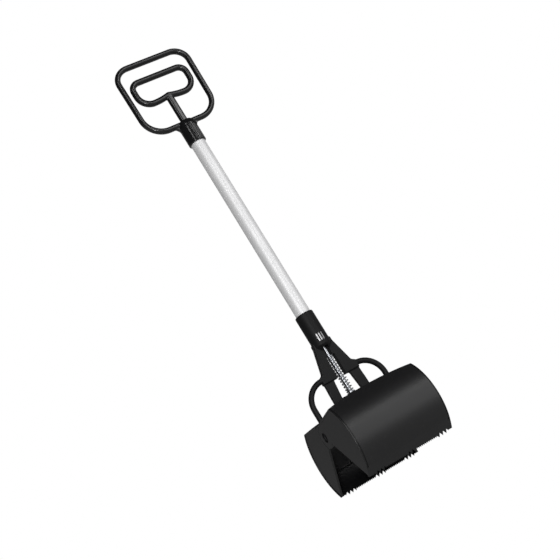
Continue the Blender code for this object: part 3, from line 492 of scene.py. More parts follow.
def jawSection(x):
    # The outside from the roof's edge down to the lip, and the inside with its ledge back up.
    ridgeAngle, last, wall = ridgeAngleAt(x), jaw["lastArcAngle"], jaw["wall"]
    outer = [roofEdgePoint(ridgeAngle, 0), ridgePoint(ridgeAngle, 0)]
    outer += [wallPoint(a) for a in np.linspace(ridgeAngle, last, jaw["steps"]["arc"])[1:-1]]
    outer.append(lipFoot(0))
    half = jaw["ledgeThickness"] / jaw["radius"] / 2
    low, high = jaw["ledgeAngle"] - half, jaw["ledgeAngle"] + half
    deep = wall + jaw["ledgeDepth"]
    below = np.linspace(last, low - half / 2, jaw["steps"]["belowLedge"])[1:]
    above = np.linspace(high + half / 2, ridgeAngle, jaw["steps"]["aboveLedge"])[:-1]
    inner = [lipFoot(wall)] + [wallPoint(a, wall) for a in below]
    inner += [wallPoint(low, wall), wallPoint(low, deep), wallPoint(high, deep), wallPoint(high, wall)]
    inner += [wallPoint(a, wall) for a in above]
    inner += [ridgePoint(ridgeAngle, wall), roofEdgePoint(ridgeAngle, wall)]
    return outer, inner


def jawShell(name, side):
    last = jaw["steps"]["stations"]
    points, faces = [], []
    for station in range(last + 1):
        x = halfLength * (2 * station / last - 1)
        outer, inner = jawSection(x)
        points += [(x, side * y, z) for y, z in outer + inner]
    outerCount, innerCount = len(outer), len(inner)
    count = outerCount + innerCount
    for i in range(last):
        for j in range(count):
            if j == outerCount - 1:
                continue
            k = (j + 1) % count
            faces.append([i * count + j, i * count + k, (i + 1) * count + k])
            faces.append([i * count + j, (i + 1) * count + k, (i + 1) * count + j])
    outside, inside = [], []
    for x, y in toothLine():
        for depth, indices in ((0.0, outside), (jaw["wall"], inside)):
            aside, z = lipPoint(teeth["gap"] / 2 + side * y, depth)
            indices.append(len(points))
            points.append((x, side * aside, z))
    outerFoot = [i * count + outerCount - 1 for i in range(last + 1)]
    innerFoot = [i * count + outerCount for i in range(last + 1)]
    faces += [outerFoot + outside[::-1], innerFoot + inside[::-1]]
    faces += [[outside[i], outside[i + 1], inside[i + 1], inside[i]] for i in range(len(outside) - 1)]
    for foot, tip in ((0, 0), (last, -1)):
        ring = [foot * count + j for j in range(outerCount)] + [outside[tip], inside[tip]]
        faces.append(ring + [foot * count + outerCount + j for j in range(innerCount)])
    shell = meshObject(name, points, faces)
    weights = shell.data.attributes.new("bevel_weight_edge", "FLOAT", "EDGE")
    corners = {0, 1, count - 1, count - 2}      # roof edge and ridge, outside and inside
    for edge in shell.data.edges:
        a, b = edge.vertices
        lengthwise = abs(a - b) == count and a % count in corners
        rim = max(a, b) < count * (last + 1) and a // count == b // count and a // count in (0, last)
        weights.data[edge.index].value = 1.0 if lengthwise or rim else 0.0
    bevel = shell.modifiers.new("edges", "BEVEL")
    bevel.width = jaw["edgeRound"]
    bevel.segments = 3
    bevel.limit_method = "WEIGHT"
    return bake(shell)


def capOutline(side, withHub):
    halfGap, depth, ridgeAngle = jaw["mouthGap"] / 2, jaw["wall"] / 2, jaw["ridgeAngle"]
    angles = np.linspace(jaw["lastArcAngle"], ridgeAngle, jaw["steps"]["arc"])[1:-1]
    outline = [lipPoint(halfGap, depth), lipFoot(depth)] + [wallPoint(a, depth) for a in angles]
    outline.append(ridgePoint(ridgeAngle, depth))
    # The roof ends on the plane where the two jaws' caps meet when they are open.
    stop = np.array([math.sin(jaw["opening"]), math.cos(jaw["opening"])])
    beside = np.array([stop[1], -stop[0]]) * halfGap
    out, _ = roofDirections(ridgeAngle)
    edge = np.array(roofEdgePoint(ridgeAngle, depth))
    outline.append(tuple(beside + stop * np.linalg.solve(np.array([stop, -out]).T, edge - beside)[0]))
    radius = jaw["hubRadius"] + (0 if withHub else hinge["runningGap"])
    swing = math.asin(halfGap / radius)
    end = swing - math.pi / 2 + (2 * math.pi if withHub else 0)
    outline += arc((0, 0), radius, math.pi / 2 - jaw["opening"] - swing, end, jaw["steps"]["hub"])
    return [(side * y, z) for y, z in outline]


def capSeam(side):
    # The groove round the shell where the cap is welded on, which shows as a thin dark line.
    angles = np.linspace(jaw["ridgeAngle"], jaw["lastArcAngle"], jaw["steps"]["seam"])
    outline = [wallPoint(a, jaw["seamDepth"]) for a in angles]
    outline += [wallPoint(a, -overrun) for a in angles[::-1]]
    return prism([(side * y, z) for y, z in outline], "X", capOutside - jaw["seamWidth"], capOutside)


def camPath(side, steps):
    # Where the cross pin stands in the shut jaw's own frame as it rises by its travel.
    path = []
    for i in range(steps + 1):
        height = closedPinHeight + crosshead["travel"] * i / steps
        turn = jaw["opening"] * (height - closedPinHeight) / crosshead["travel"]
        path.append(np.array([side * height * math.sin(turn), height * math.cos(turn)]))
    return path


def earOutline(side, x, hubRadius, withSlot):
    # The farthest reach, in each direction, of the hub, the discs out to the roof and the slot's wall.
    out, down = roofDirections(ridgeAngleAt(x))
    radius, reachSteps, roundSteps = jaw["earFootRadius"], jaw["steps"]["earReach"], jaw["steps"]["earRound"]
    foot = roofEdge + radius * out + (radius + jaw["wall"] / 4) * down
    discs = [(np.array([side * foot[0], foot[1]]) * i / reachSteps, radius) for i in range(1, reachSteps + 1)]
    if withSlot:
        reach = crosshead["pinDiameter"] / 2 + jaw["slotClearance"] + jaw["slotWall"]
        discs += [(point, reach) for point in camPath(side, reachSteps)]
    outline = []
    for i in range(roundSteps):
        angle = 2 * math.pi * i / roundSteps
        ray = np.array([math.cos(angle), math.sin(angle)])
        reach = hubRadius
        for centre, radius in discs:
            ahead, aside = centre @ ray, abs(centre[0] * ray[1] - centre[1] * ray[0])
            if aside < radius:
                reach = max(reach, ahead + math.sqrt(radius ** 2 - aside ** 2))
        outline.append(tuple(ray * reach))
    return outline


def slotOutline(side):
    half = crosshead["pinDiameter"] / 2 + jaw["slotClearance"]
    path = camPath(side, jaw["steps"]["slot"])
    runs = [path[1] - path[0]] + [b - a for a, b in zip(path, path[2:])] + [path[-1] - path[-2]]
    runs = [run / np.linalg.norm(run) for run in runs]
    normals = [np.array([-run[1], run[0]]) for run in runs]
    last, first = (math.atan2(n[1], n[0]) for n in (normals[-1], -normals[0]))
    outline = [tuple(p + half * n) for p, n in zip(path, normals)]
    outline += arc(tuple(path[-1]), half, last, last - math.pi, jaw["steps"]["slotEnd"])[1:-1]
    outline += [tuple(p - half * n) for p, n in reversed(list(zip(path, normals)))]
    outline += arc(tuple(path[0]), half, first, first - math.pi, jaw["steps"]["slotEnd"])[1:-1]
    return outline


def makeJaw(name, side, body, node):
    front = side < 0
    ear, edge = jaw["earThickness"], jaw["edgeRound"]
    earInside = innerEarInside if front else outerEarInside
    obj = jawShell(name, side)
    plates = [(capOutline(side, front), capInside, capOutside),
              (earOutline(side, earInside, jaw["camHubRadius"], True), earInside, earInside + ear)]
    if not front:
        plates.append((earOutline(side, endEarOutside, jaw["endEarRadius"], False),
                       endEarOutside - ear, endEarOutside))
    for outline, low, high in plates:
        join(obj, bothSides(plate(outline, "X", low, high, edge)))
    cut(obj, bothSides(capSeam(side)))
    past = overrun / 8
    cut(obj, bothSides(prism(slotOutline(side), "X", earInside - past, earInside + ear + past)))
    cut(obj, [rod("X", hingeBore, -halfLength - overrun, halfLength + overrun)])
    if front:
        radius = hinge["headDiameter"] / 2 + hinge["counterboreClearance"]
        cut(obj, bothSides(rod("X", radius, capOutside - hinge["counterboreDepth"], capOutside + overrun)))
    obj.data.transform(Matrix.Rotation(side * jaw["opening"], 4, "X"))
    finishPiece(obj, body, "jaw_plastic", node)


# Fork

fork = {
    "neckDiameter": 0.027,
    "neckTop": 0.160,
    "neckLength": 0.050,
    "neckFlare": 0.001,
    "neckTaper": 0.012,
    "windows": 3,
    "windowWidth": 0.0024,
    "windowPitch": 0.0038,
    "windowDraft": 0.0005,
    "windowHeight": 0.0115,
    "windowLift": 0.005,
    "webDepth": 0.0105,
    "webTopHalfWidth": 0.0146,
    "webInNeck": 0.006,
    "shoulderHalfWidth": 0.0235,
    "shoulderRise": 0.0035,
    "webSideHeight": 0.0105,
    "webFoot": 0.061,
    "webBesideLeg": 0.0008,
    "legDepth": 0.0068,
    "legInner": (0.0156, 0.013),      # at the foot and at the web
    "legOuter": (0.0292, 0.0282),
    "legStraightBelow": 0.037,
    "eyeRadius": 0.0072,
    "eyeProud": 0.0003,
    "hoopCentre": (0.028, 0.038),
    "hoopWidth": 0.008,
    "hoopDepth": 0.0086,
    "hoopInWeb": 0.006,
    "hoopEyeWidth": 0.0078,
    "springSlotTop": 0.0925,
    "springSlotHalfWidth": 0.0068,
    "rodSlotTop": 0.107,
    "rodSlotHalfWidth": 0.0043,
    "voxel": 0.0007,
    "smoothing": 6,
}


def legShape():
    half = fork["legDepth"] / 2
    levels = [(0, 0), (fork["legStraightBelow"], 0), (fork["webFoot"], 1), (legTop, 1)]
    points = []
    for z, end in levels:
        inner, outer = fork["legInner"][end], fork["legOuter"][end]
        points += [(inner, -half, z), (outer, -half, z), (outer, half, z), (inner, half, z)]
    return points, skin(len(levels), 4, False)


def webShape():
    halfWidth, half = fork["legOuter"][1] + fork["webBesideLeg"], fork["webDepth"] / 2
    outline = [(fork["webTopHalfWidth"], neckFoot + fork["webInNeck"]), (fork["webTopHalfWidth"], neckFoot),
               (fork["shoulderHalfWidth"], legTop + fork["shoulderRise"]), (halfWidth, legTop),
               (halfWidth, fork["webFoot"])]
    return prism(bothHalves(outline), "Y", -half, half)


def hoopShape():
    (x, z), radius = fork["hoopCentre"], hoopMiddle - fork["hoopCentre"][0]
    path = [(x - fork["hoopInWeb"], z + radius)] + arc((x, z), radius, math.pi / 2, 0, fineSteps)
    path += [(hoopMiddle, z * (1 - i / 20)) for i in range(1, 21)]      # straight down to the pin
    return swept(path, oval(fork["hoopWidth"], fork["hoopDepth"]), False)


def windowShape(index, radius):
    x = fork["windowPitch"] * (index - (fork["windows"] - 1) / 2)
    near, far = fork["windowWidth"] / 2, fork["windowWidth"] / 2 + fork["windowDraft"]
    foot, past = neckFoot + fork["windowLift"], -radius - overrun
    outline = [(x - near, -tubeBore), (x + near, -tubeBore), (x + far, -radius), (x + far, past),
               (x - far, past), (x - far, -radius)]
    return prism(outline, "Z", foot, foot + fork["windowHeight"])


def cutScrewHoles(obj, radius, heights):
    spot = screw["headDiameter"] / 2 + screw["clearance"]
    hole = screw["shankDiameter"] / 2 + screw["clearance"]
    cut(obj, [rod("Y", spot, radius - screw["spotDepth"], radius + overrun, (0, z)) for z in heights])
    cut(obj, [rod("Y", hole, 0, radius + overrun / 2, (0, z)) for z in heights])


def makeFork():
    radius, flare, top = fork["neckDiameter"] / 2, fork["neckFlare"], fork["neckTop"]
    eye, proud = fork["eyeRadius"], fork["eyeProud"]
    neck = [(fork["webDepth"] / 2 - flare, neckFoot - fork["neckTaper"]), (radius, neckFoot),
            (radius, top - flare), (radius - flare / 2, top)]
    shapes = [webShape(), turned("Z", neck, wideSteps)]
    for shape in (legShape(), rod("X", eye, fork["legInner"][0] - proud, fork["legOuter"][0] + proud),
                  hoopShape(), rod("X", eye, hoopInside, hoopOutside)):
        shapes += bothSides(shape)
    obj = meshObject("forkBody", *gathered(shapes))
    mouldTogether(obj, fork["voxel"], fork["smoothing"])

    # The tube's socket, the slot for the spring and the rod, the rod's bore, the windows, the hinge
    # pin's bore and the screw holes.
    cut(obj, [rod("Z", tubeSocket, neckFoot, top + overrun, steps=wideSteps)])
    wide, narrow = fork["springSlotHalfWidth"], fork["rodSlotHalfWidth"]
    slotFoot, step, slotTop = fork["webFoot"] - overrun, fork["springSlotTop"], fork["rodSlotTop"]
    slot = bothHalves([(wide, slotFoot), (wide, step), (narrow, step), (narrow, slotTop)])
    cut(obj, [prism(slot, "Y", -radius - overrun, radius + overrun)])
    cut(obj, [rod("Z", rodBore, slotTop - overrun, neckFoot + overrun)])
    cut(obj, [windowShape(i, radius) for i in range(fork["windows"])])
    cut(obj, [rod("X", hingeBore, -halfLength, halfLength)])
    cutScrewHoles(obj, radius, [top - d for d in screw["forkDepths"]])
    finishPiece(obj, "frame", "fork_plastic", "fork")


# Tube

tube = {"diameter": 0.022, "wall": 0.0012, "shown": 0.292, "clearance": 0.0003}


def ringProfile(hole, outside, foot, top, wall):
    # Half of a ring's section. Its four edges are broken by a fifth of the wall.
    edge = wall / 5
    return [(hole, foot + edge), (hole + edge, foot), (outside - edge, foot), (outside, foot + edge),
            (outside, top - edge), (outside - edge, top), (hole + edge, top), (hole, top - edge)]


def makeTube():
    profile = ringProfile(tubeBore, tubeRadius, tubeFoot, tubeTop, tube["wall"])
    obj = meshObject("mainTube", *turned("Z", profile, wideSteps, hollow=True))
    finishPiece(obj, "frame", "tube_aluminium", "main_tube")


# Grip and trigger

grip = {
    "socketDiameter": 0.0268,
    "socketLength": 0.036,
    "shoulder": 0.0085,
    "halfWidth": 0.0555,
    "lowRadius": 0.0295,
    "topRadius": 0.022,
    "height": 0.1145,
    "flareShare": 0.04,
    "barWidth": 0.0084,
    "barDepth": 0.0104,
    "gussetDepth": 0.006,
    "gussetAside": 0.027,
    "gussetLength": 0.022,
    "ribs": 3,
    "ribWidth": 0.0018,
    "ribSpacing": math.radians(27),
    "ribHeight": 0.0009,
    "ribLength": 0.034,
    "voxel": 0.0005,
    "smoothing": 12,
}

trigger = {
    "besideFrame": 0.012,
    "lift": 0.0475,
    "height": 0.0395,
    "lowRadius": 0.019,
    "topRadius": 0.012,
    "barWidth": 0.009,
    "barDepth": 0.0104,
    "cusp": 0.0035,
    "stemWidth": 0.0112,
    "stemDepth": 0.009,
    "stemCorner": 0.0042,
    "stemClearance": 0.0005,
    "stemInTube": 0.048,
    "rodInStem": 0.018,
    "pinHoleDiameter": 0.0036,
    "voxel": 0.0005,
    "smoothing": 12,
}


def loopPath(halfWidth, foot, top, lowRadius, topRadius, cusp):
    # Once round a loop from the middle of its foot, which the cusp lifts. The numbers of steps only
    # set how finely it is drawn.
    low, high, sideTop = halfWidth - lowRadius, halfWidth - topRadius, top - topRadius
    shares = [i / 14 for i in range(1, 14)]
    right = [(low * share, foot + cusp * (1 - share) ** 2) for share in shares]
    right += arc((low, foot + lowRadius), lowRadius, -math.pi / 2, 0, 24)
    right += [(halfWidth, foot + lowRadius + (sideTop - foot - lowRadius) * i / 12) for i in range(1, 12)]
    right += arc((high, sideTop), topRadius, 0, math.pi / 2, 20)
    right += [(high * (1 - i / 12), top) for i in range(1, 12)]
    return [(0, foot + cusp)] + right + [(0, top)] + [(-x, z) for x, z in reversed(right)]


def makeGrip():
    radius, length, thick = grip["socketDiameter"] / 2, grip["gussetLength"], grip["gussetDepth"]
    edge = radius / 10
    path = loopPath(grip["halfWidth"], frameFoot, frameTop, grip["lowRadius"], grip["topRadius"], 0.0)
    path = [(x * (1 + grip["flareShare"] * (z - frameFoot) / grip["height"]), z) for x, z in path]
    socket = [(radius - edge / 2, gripFoot), (radius, gripFoot + edge / 2), (radius, frameFoot - edge * 4),
              (radius - edge * 2, frameFoot + grip["barWidth"] / 4)]
    reach = grip["gussetAside"] - radius + edge * 2
    gusset = [(grip["gussetAside"] - reach * math.cos(a), frameFoot - length * (1 - math.sin(a)))
              for a in np.linspace(0, math.pi / 2, 25)] + [(radius - edge * 4, frameFoot)]
    shapes = [swept(path, oval(grip["barWidth"], grip["barDepth"]), True), turned("Z", socket, wideSteps)]
    shapes += bothSides(prism(gusset, "Y", -thick / 2, thick / 2))
    for i in range(grip["ribs"]):
        angle = grip["ribSpacing"] * (i - (grip["ribs"] - 1) / 2)
        out = np.array([math.sin(angle), -math.cos(angle)])
        near, far = out * (tubeRadius + edge), out * (radius + grip["ribHeight"])
        half = np.array([math.cos(angle), math.sin(angle)]) * grip["ribWidth"] / 2
        outline = [near - half, near + half, far + half, far - half]
        shapes.append(prism(outline, "Z", frameFoot - grip["ribLength"], frameFoot - grip["barWidth"]))
    obj = meshObject("gripBody", *gathered(shapes))
    mouldTogether(obj, grip["voxel"], grip["smoothing"])

    # The tube's socket, the guide hole for the trigger's stem and the screw holes.
    cut(obj, [rod("Z", tubeSocket, gripFoot - overrun, frameFoot - grip["shoulder"], steps=wideSteps)])
    width, depth, loose = trigger["stemWidth"], trigger["stemDepth"], 2 * trigger["stemClearance"]
    guide = roundedRectangle(width + loose, depth + loose, depth / 4)
    cut(obj, [prism(guide, "Z", tubeTop - overrun, frameFoot + grip["barWidth"] + overrun)])
    cutScrewHoles(obj, radius, [gripFoot + d for d in screw["gripDepths"]])
    finishPiece(obj, "frame", "grip_plastic", "grip_frame")


def makeTrigger():
    path = loopPath(grip["halfWidth"] - trigger["besideFrame"], triggerFoot, triggerTop,
                    trigger["lowRadius"], trigger["topRadius"], trigger["cusp"])
    stem = roundedRectangle(trigger["stemWidth"], trigger["stemDepth"], trigger["stemCorner"])
    shapes = [swept(path, oval(trigger["barWidth"], trigger["barDepth"]), True),
              prism(stem, "Z", stemFoot, triggerFoot + trigger["cusp"])]
    obj = meshObject("triggerBody", *gathered(shapes))
    mouldTogether(obj, trigger["voxel"], trigger["smoothing"])
    cut(obj, [rod("Z", rodBore, stemFoot - overrun, stemFoot + trigger["rodInStem"])])
    cut(obj, [rod("Y", trigger["pinHoleDiameter"] / 2, -trigger["stemDepth"], trigger["stemDepth"],
                  (0, rodPinHeight))])
    finishPiece(obj, "puller", "grip_plastic", "trigger")


# Turned pieces: hinge pin and cap, rod and its pin, cross pin, crosshead, washers and bush

hinge = {
    "pinDiameter": 0.006,
    "headDiameter": 0.009,
    "headHeight": 0.0014,
    "clearance": 0.0003,
    "runningGap": 0.0004,
    "counterboreDepth": 0.0018,
    "counterboreClearance": 0.0025,
}

pullRod = {
    "diameter": 0.006,
    "clearance": 0.0003,
    "inCrosshead": 0.0028,
    "pinDiameter": 0.003,
    "pinChamfer": 0.0002,
}

crosshead = {
    "travel": 0.020,
    "pinOpenHeight": 0.029,
    "pinDiameter": 0.005,
    "diameter": 0.0122,
    "belowPin": 0.0048,
    "abovePin": 0.006,
    "steps": 64,
}

washer = {"diameter": 0.0122, "thickness": 0.001}

bush = {"aboveTubeFoot": 0.017, "length": 0.014, "flange": 0.002}


def softened(radius, low, high, edge):
    # The profile of a solid pin with its two edges chamfered.
    return [(radius - edge, low), (radius, low + edge), (radius, high - edge), (radius - edge, high)]


def makeTurned(name, axis, profile, body, slot, node, hollow=False, centre=(0, 0)):
    obj = meshObject(name, *turned(axis, profile, fineSteps, centre, hollow))
    finishPiece(obj, body, slot, node)


def makeHingePin():
    pin, head, height = hinge["pinDiameter"] / 2, hinge["headDiameter"] / 2, hinge["headHeight"]
    seat = capOutside - hinge["counterboreDepth"] + hinge["clearance"]
    edge = height / 4
    profile = [(pin - edge, -seat - height), (pin, -seat - height + edge), (pin, seat - edge),
               (pin + edge, seat), (head - edge, seat), (head, seat + edge), (head, seat + height - edge),
               (head - edge, seat + height)]
    makeTurned("hingePin", "X", profile, "frame", "black_steel", "hinge_pin")
    low, high = -seat - height / 2, -seat
    makeTurned("hingePinCap", "X", ringProfile(hingeBore, head, low, high, high - low),
               "frame", "black_steel", "hinge_pin_cap", hollow=True)


def makeRod():
    low, high = rodSeat + seatGap, stemFoot + trigger["rodInStem"] - seatGap
    makeTurned("pullRod", "Z", softened(rodRadius, low, high, rodRadius / 6),
               "puller", "zinc_steel", "pull_rod")
    half = trigger["stemDepth"] / 2 - seatGap
    makeTurned("rodPin", "Y", softened(pullRod["pinDiameter"] / 2, -half, half, pullRod["pinChamfer"]),
               "puller", "zinc_steel", "rod_pin", centre=(0, rodPinHeight))


def makeCrosshead():
    cross, pinHeight, half = crosshead["pinDiameter"] / 2, crosshead["pinOpenHeight"], crossPinHalfLength
    makeTurned("crossPin", "X", softened(cross, -half, half, cross / 6),
               "puller", "zinc_steel", "cross_pin", centre=(0, pinHeight))
    radius = crosshead["diameter"] / 2
    profile = softened(radius, pinHeight - crosshead["belowPin"], crossheadTop, radius / 8)
    obj = meshObject("crossheadBlock", *turned("Z", profile, crosshead["steps"]))
    cut(obj, [rod("Z", rodBore, rodSeat, crossheadTop + overrun)])
    cut(obj, [rod("X", cross + hinge["clearance"], -radius - overrun, radius + overrun, (0, pinHeight))])
    finishPiece(obj, "puller", "nylon", "crosshead")


def makeWashers():
    thick, outside = washer["thickness"], washer["diameter"] / 2
    lower = crossheadTop + seatGap
    upper = fork["springSlotTop"] - seatGap - thick
    for name, foot, body, node in (("lowerWasher", lower, "puller", "spring_washer_lower"),
                                   ("upperWasher", upper, "frame", "spring_washer_upper")):
        profile = ringProfile(rodBore, outside, foot, foot + thick, thick)
        makeTurned(name, "Z", profile, body, "zinc_steel", node, hollow=True)


def makeBush():
    foot, top = tubeFoot + bush["aboveTubeFoot"], tubeFoot + bush["aboveTubeFoot"] + bush["length"]
    rim, flange = tubeBore - seatGap / 2, bush["flange"]
    profile = [(rodBore, foot), (rim, foot), (rim, foot + flange), (rim - flange, foot + flange),
               (rim - flange, top - flange), (rim, top - flange), (rim, top), (rodBore, top)]
    makeTurned("rodBush", "Z", profile, "frame", "nylon", "rod_bush", hollow=True)


# Return spring, wound by a Geometry Nodes tree

spring = {
    "diameter": 0.0115,
    "wire": 0.0016,
    "turns": 13,
    "deadTurns": 1,
    "deadGap": 0.0006,
    "pointsPerTurn": 40,
    "wireSides": 12,
}


def newGeometryTree(name, sizes):
    # A tree with a named input for each of its sizes.
    tree = bpy.data.node_groups.new(name, "GeometryNodeTree")
    tree.interface.new_socket("Geometry", in_out="INPUT", socket_type="NodeSocketGeometry")
    for label, value in sizes.items():
        kind = "NodeSocketInt" if isinstance(value, int) else "NodeSocketFloat"
        tree.interface.new_socket(label, in_out="INPUT", socket_type=kind).default_value = value
    tree.interface.new_socket("Geometry", in_out="OUTPUT", socket_type="NodeSocketGeometry")
    return tree, addNode(tree, "NodeGroupInput").outputs


def closeTree(tree, geometry, material):
    real = addNode(tree, "GeometryNodeRealizeInstances", links={"Geometry": geometry})
    painted = addNode(tree, "GeometryNodeSetMaterial", {"Material": material},
                      {"Geometry": real.outputs["Geometry"]})
    addNode(tree, "NodeGroupOutput", links={"Geometry": painted.outputs["Geometry"]})
    return tree


def runTree(obj, tree, sizes):
    modifier = obj.modifiers.new(tree.name, "NODES")
    modifier.node_group = tree
    for item in tree.interface.items_tree:
        if item.in_out == "INPUT" and item.name in sizes:
            modifier[item.identifier] = sizes[item.name]
    bake(obj)


def helixTree(sizes, material):
    # A wire wound round Z. Its height over the turns comes from three straight stretches: a dead
    # turn at each end, and live ones between.
    tree, given = newGeometryTree("woundWire", sizes)

    # The line's own spacing doesn't matter, because its points are placed anew below.
    line = addNode(tree, "GeometryNodeMeshLine", {"Offset": (0.0, 0.0, 0.001)}, {"Count": given["Points"]})
    curve = addNode(tree, "GeometryNodeMeshToCurve", links={"Mesh": line.outputs["Mesh"]})
    share = addNode(tree, "GeometryNodeSplineParameter").outputs["Factor"]
    turn = addNode(tree, "ShaderNodeMath", links={0: share, 1: given["Turns"]},
                   operation="MULTIPLY").outputs[0]
    angle = addNode(tree, "ShaderNodeMath", {1: 2 * math.pi}, {0: turn}, operation="MULTIPLY").outputs[0]
    across = [addNode(tree, "ShaderNodeMath", links={
        0: addNode(tree, "ShaderNodeMath", links={0: angle}, operation=kind).outputs[0],
        1: given["Radius"]}, operation="MULTIPLY").outputs[0] for kind in ("COSINE", "SINE")]

    lastDead = addNode(tree, "ShaderNodeMath", links={0: given["Turns"], 1: given["Dead Turns"]},
                       operation="SUBTRACT").outputs[0]
    deadRise = addNode(tree, "ShaderNodeMath", links={0: given["Dead Pitch"], 1: given["Dead Turns"]},
                       operation="MULTIPLY").outputs[0]
    liveFoot = addNode(tree, "ShaderNodeMath", links={0: given["Foot"], 1: deadRise},
                       operation="ADD").outputs[0]
    liveTop = addNode(tree, "ShaderNodeMath", links={0: given["Top"], 1: deadRise},
                      operation="SUBTRACT").outputs[0]
    liveRise = addNode(tree, "ShaderNodeMath", links={0: liveTop, 1: liveFoot},
                       operation="SUBTRACT").outputs[0]
    low = addNode(tree, "ShaderNodeMapRange", {"From Min": 0.0}, {
        "Value": turn, "From Max": given["Dead Turns"], "To Min": given["Foot"], "To Max": liveFoot})
    live = addNode(tree, "ShaderNodeMapRange", {"To Min": 0.0}, {
        "Value": turn, "From Min": given["Dead Turns"], "From Max": lastDead, "To Max": liveRise})
    high = addNode(tree, "ShaderNodeMapRange", {"To Min": 0.0}, {
        "Value": turn, "From Min": lastDead, "From Max": given["Turns"], "To Max": deadRise})
    height = low.outputs["Result"]
    for stretch in (live, high):
        height = addNode(tree, "ShaderNodeMath", links={0: height, 1: stretch.outputs["Result"]},
                         operation="ADD").outputs[0]

    position = addNode(tree, "ShaderNodeCombineXYZ", links={"X": across[0], "Y": across[1], "Z": height})
    wound = addNode(tree, "GeometryNodeSetPosition", links={
        "Geometry": curve.outputs["Curve"], "Position": position.outputs["Vector"]})
    section = addNode(tree, "GeometryNodeCurvePrimitiveCircle", links={
        "Resolution": given["Sides"], "Radius": given["Wire Radius"]})
    wire = addNode(tree, "GeometryNodeCurveToMesh", {"Fill Caps": True}, {
        "Curve": wound.outputs["Geometry"], "Profile Curve": section.outputs["Curve"]})
    return closeTree(tree, wire.outputs["Mesh"], material)


def makeSpring():
    wire, room = spring["wire"], seatGap + washer["thickness"] + seatGap
    low, high = crossheadTop + room, fork["springSlotTop"] - room
    sizes = {
        "Turns": float(spring["turns"]), "Dead Turns": float(spring["deadTurns"]), "Foot": low + wire / 2,
        "Top": high - wire / 2, "Dead Pitch": wire + spring["deadGap"],
        "Radius": (spring["diameter"] - wire) / 2, "Wire Radius": wire / 2,
        "Points": spring["turns"] * spring["pointsPerTurn"], "Sides": spring["wireSides"]}
    obj = meshObject("returnSpring", [(0, 0, 0)], [])
    runTree(obj, helixTree(sizes, finishes["zinc_steel"]), sizes)
    finishPiece(obj, None, "zinc_steel", "return_spring")
    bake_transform(obj)


# Screws through the sockets, stood in their seats by a Geometry Nodes tree

screw = {
    "shankDiameter": 0.0032,
    "shankLength": 0.0048,
    "tipShare": 0.6,              # of the shank's radius
    "headDiameter": 0.0064,
    "headHeight": 0.0021,
    "headSideShare": 0.35,        # of the head's height, below its crown
    "crownAngle": math.radians(84),
    "recessWidth": 0.0011,
    "recessLength": 0.0036,
    "recessDepth": 0.0011,
    "spotDepth": 0.0006,
    "clearance": 0.0003,
    "forkDepths": (0.008, 0.024),
    "gripDepths": (0.006, 0.019),
    "twist": 0.6,
    "seed": 4,
}


def screwModel():
    # A pan-head screw along Z with a cross recess, its seat at the origin.
    shank, head, height = screw["shankDiameter"] / 2, screw["headDiameter"] / 2, screw["headHeight"]
    tip, side = -screw["shankLength"], screw["headSideShare"]
    profile = [(shank * screw["tipShare"], tip), (shank, tip + shank / 2), (shank, 0), (head, 0),
               (head, height * side)]
    profile += [(head * math.cos(a), height * (side + (1 - side) * math.sin(a)))
                for a in np.linspace(0, screw["crownAngle"], 10)[1:]]
    obj = meshObject("screwModel", *turned("Z", profile))
    long, wide = screw["recessLength"] / 2, screw["recessWidth"] / 2
    for x, y in ((long, wide), (wide, long)):
        outline = [(-x, -y), (x, -y), (x, y), (-x, y)]
        cut(obj, [prism(outline, "Z", height - screw["recessDepth"], height + overrun)])
    return obj


def scatterTree(sizes, model, material):
    # The model stands on every point, turned from Z to +Y, with a little twist of its own.
    tree, given = newGeometryTree("scatteredScrews", sizes)
    points = addNode(tree, "GeometryNodeMeshToPoints", links={"Mesh": given["Geometry"]})
    source = addNode(tree, "GeometryNodeObjectInfo", {"Object": model})
    twist = addNode(tree, "FunctionNodeRandomValue", {2: 0.0}, {3: given["Twist"], "Seed": given["Seed"]},
                    data_type="FLOAT")
    turn = addNode(tree, "ShaderNodeCombineXYZ", {"X": -math.pi / 2}, {"Z": twist.outputs[1]})
    placed = addNode(tree, "GeometryNodeInstanceOnPoints", links={
        "Points": points.outputs["Points"], "Instance": source.outputs["Geometry"],
        "Rotation": turn.outputs["Vector"]})
    return closeTree(tree, placed.outputs["Instances"], material)


def makeScrews():
    proud = screw["clearance"] - screw["spotDepth"]
    seats = [(0, fork["neckDiameter"] / 2 + proud, fork["neckTop"] - d) for d in screw["forkDepths"]]
    seats += [(0, grip["socketDiameter"] / 2 + proud, gripFoot + d) for d in screw["gripDepths"]]
    sizes = {"Twist": screw["twist"], "Seed": screw["seed"]}
    model = screwModel()
    obj = meshObject("socketScrews", seats, [])
    runTree(obj, scatterTree(sizes, model, finishes["zinc_steel"]), sizes)
    bpy.data.objects.remove(model)
    finishPiece(obj, "frame", "zinc_steel", "fork_screw_upper", "fork_screw_lower",
                "grip_screw_upper", "grip_screw_lower")


# Places that several pieces share: first along the hinge pin, then up the tube

halfLength = jaw["length"] / 2
capOutside = halfLength - jaw["capRim"]
capInside = capOutside - jaw["capThickness"]
teethEnd = capInside - teeth["gap"]
hoopOutside = capInside - hinge["runningGap"]
hoopInside = hoopOutside - fork["hoopEyeWidth"]
hoopMiddle = (hoopOutside + hoopInside) / 2
endEarOutside = hoopInside - hinge["runningGap"]
innerEarInside = crosshead["diameter"] / 2 + hinge["runningGap"]
outerEarInside = innerEarInside + jaw["earThickness"] + hinge["runningGap"]
crossPinHalfLength = outerEarInside + jaw["earThickness"] - hinge["runningGap"]
roofEdge = np.array(shutPoint(jaw["roofEdgeAside"], jaw["roofEdgeHeight"]))

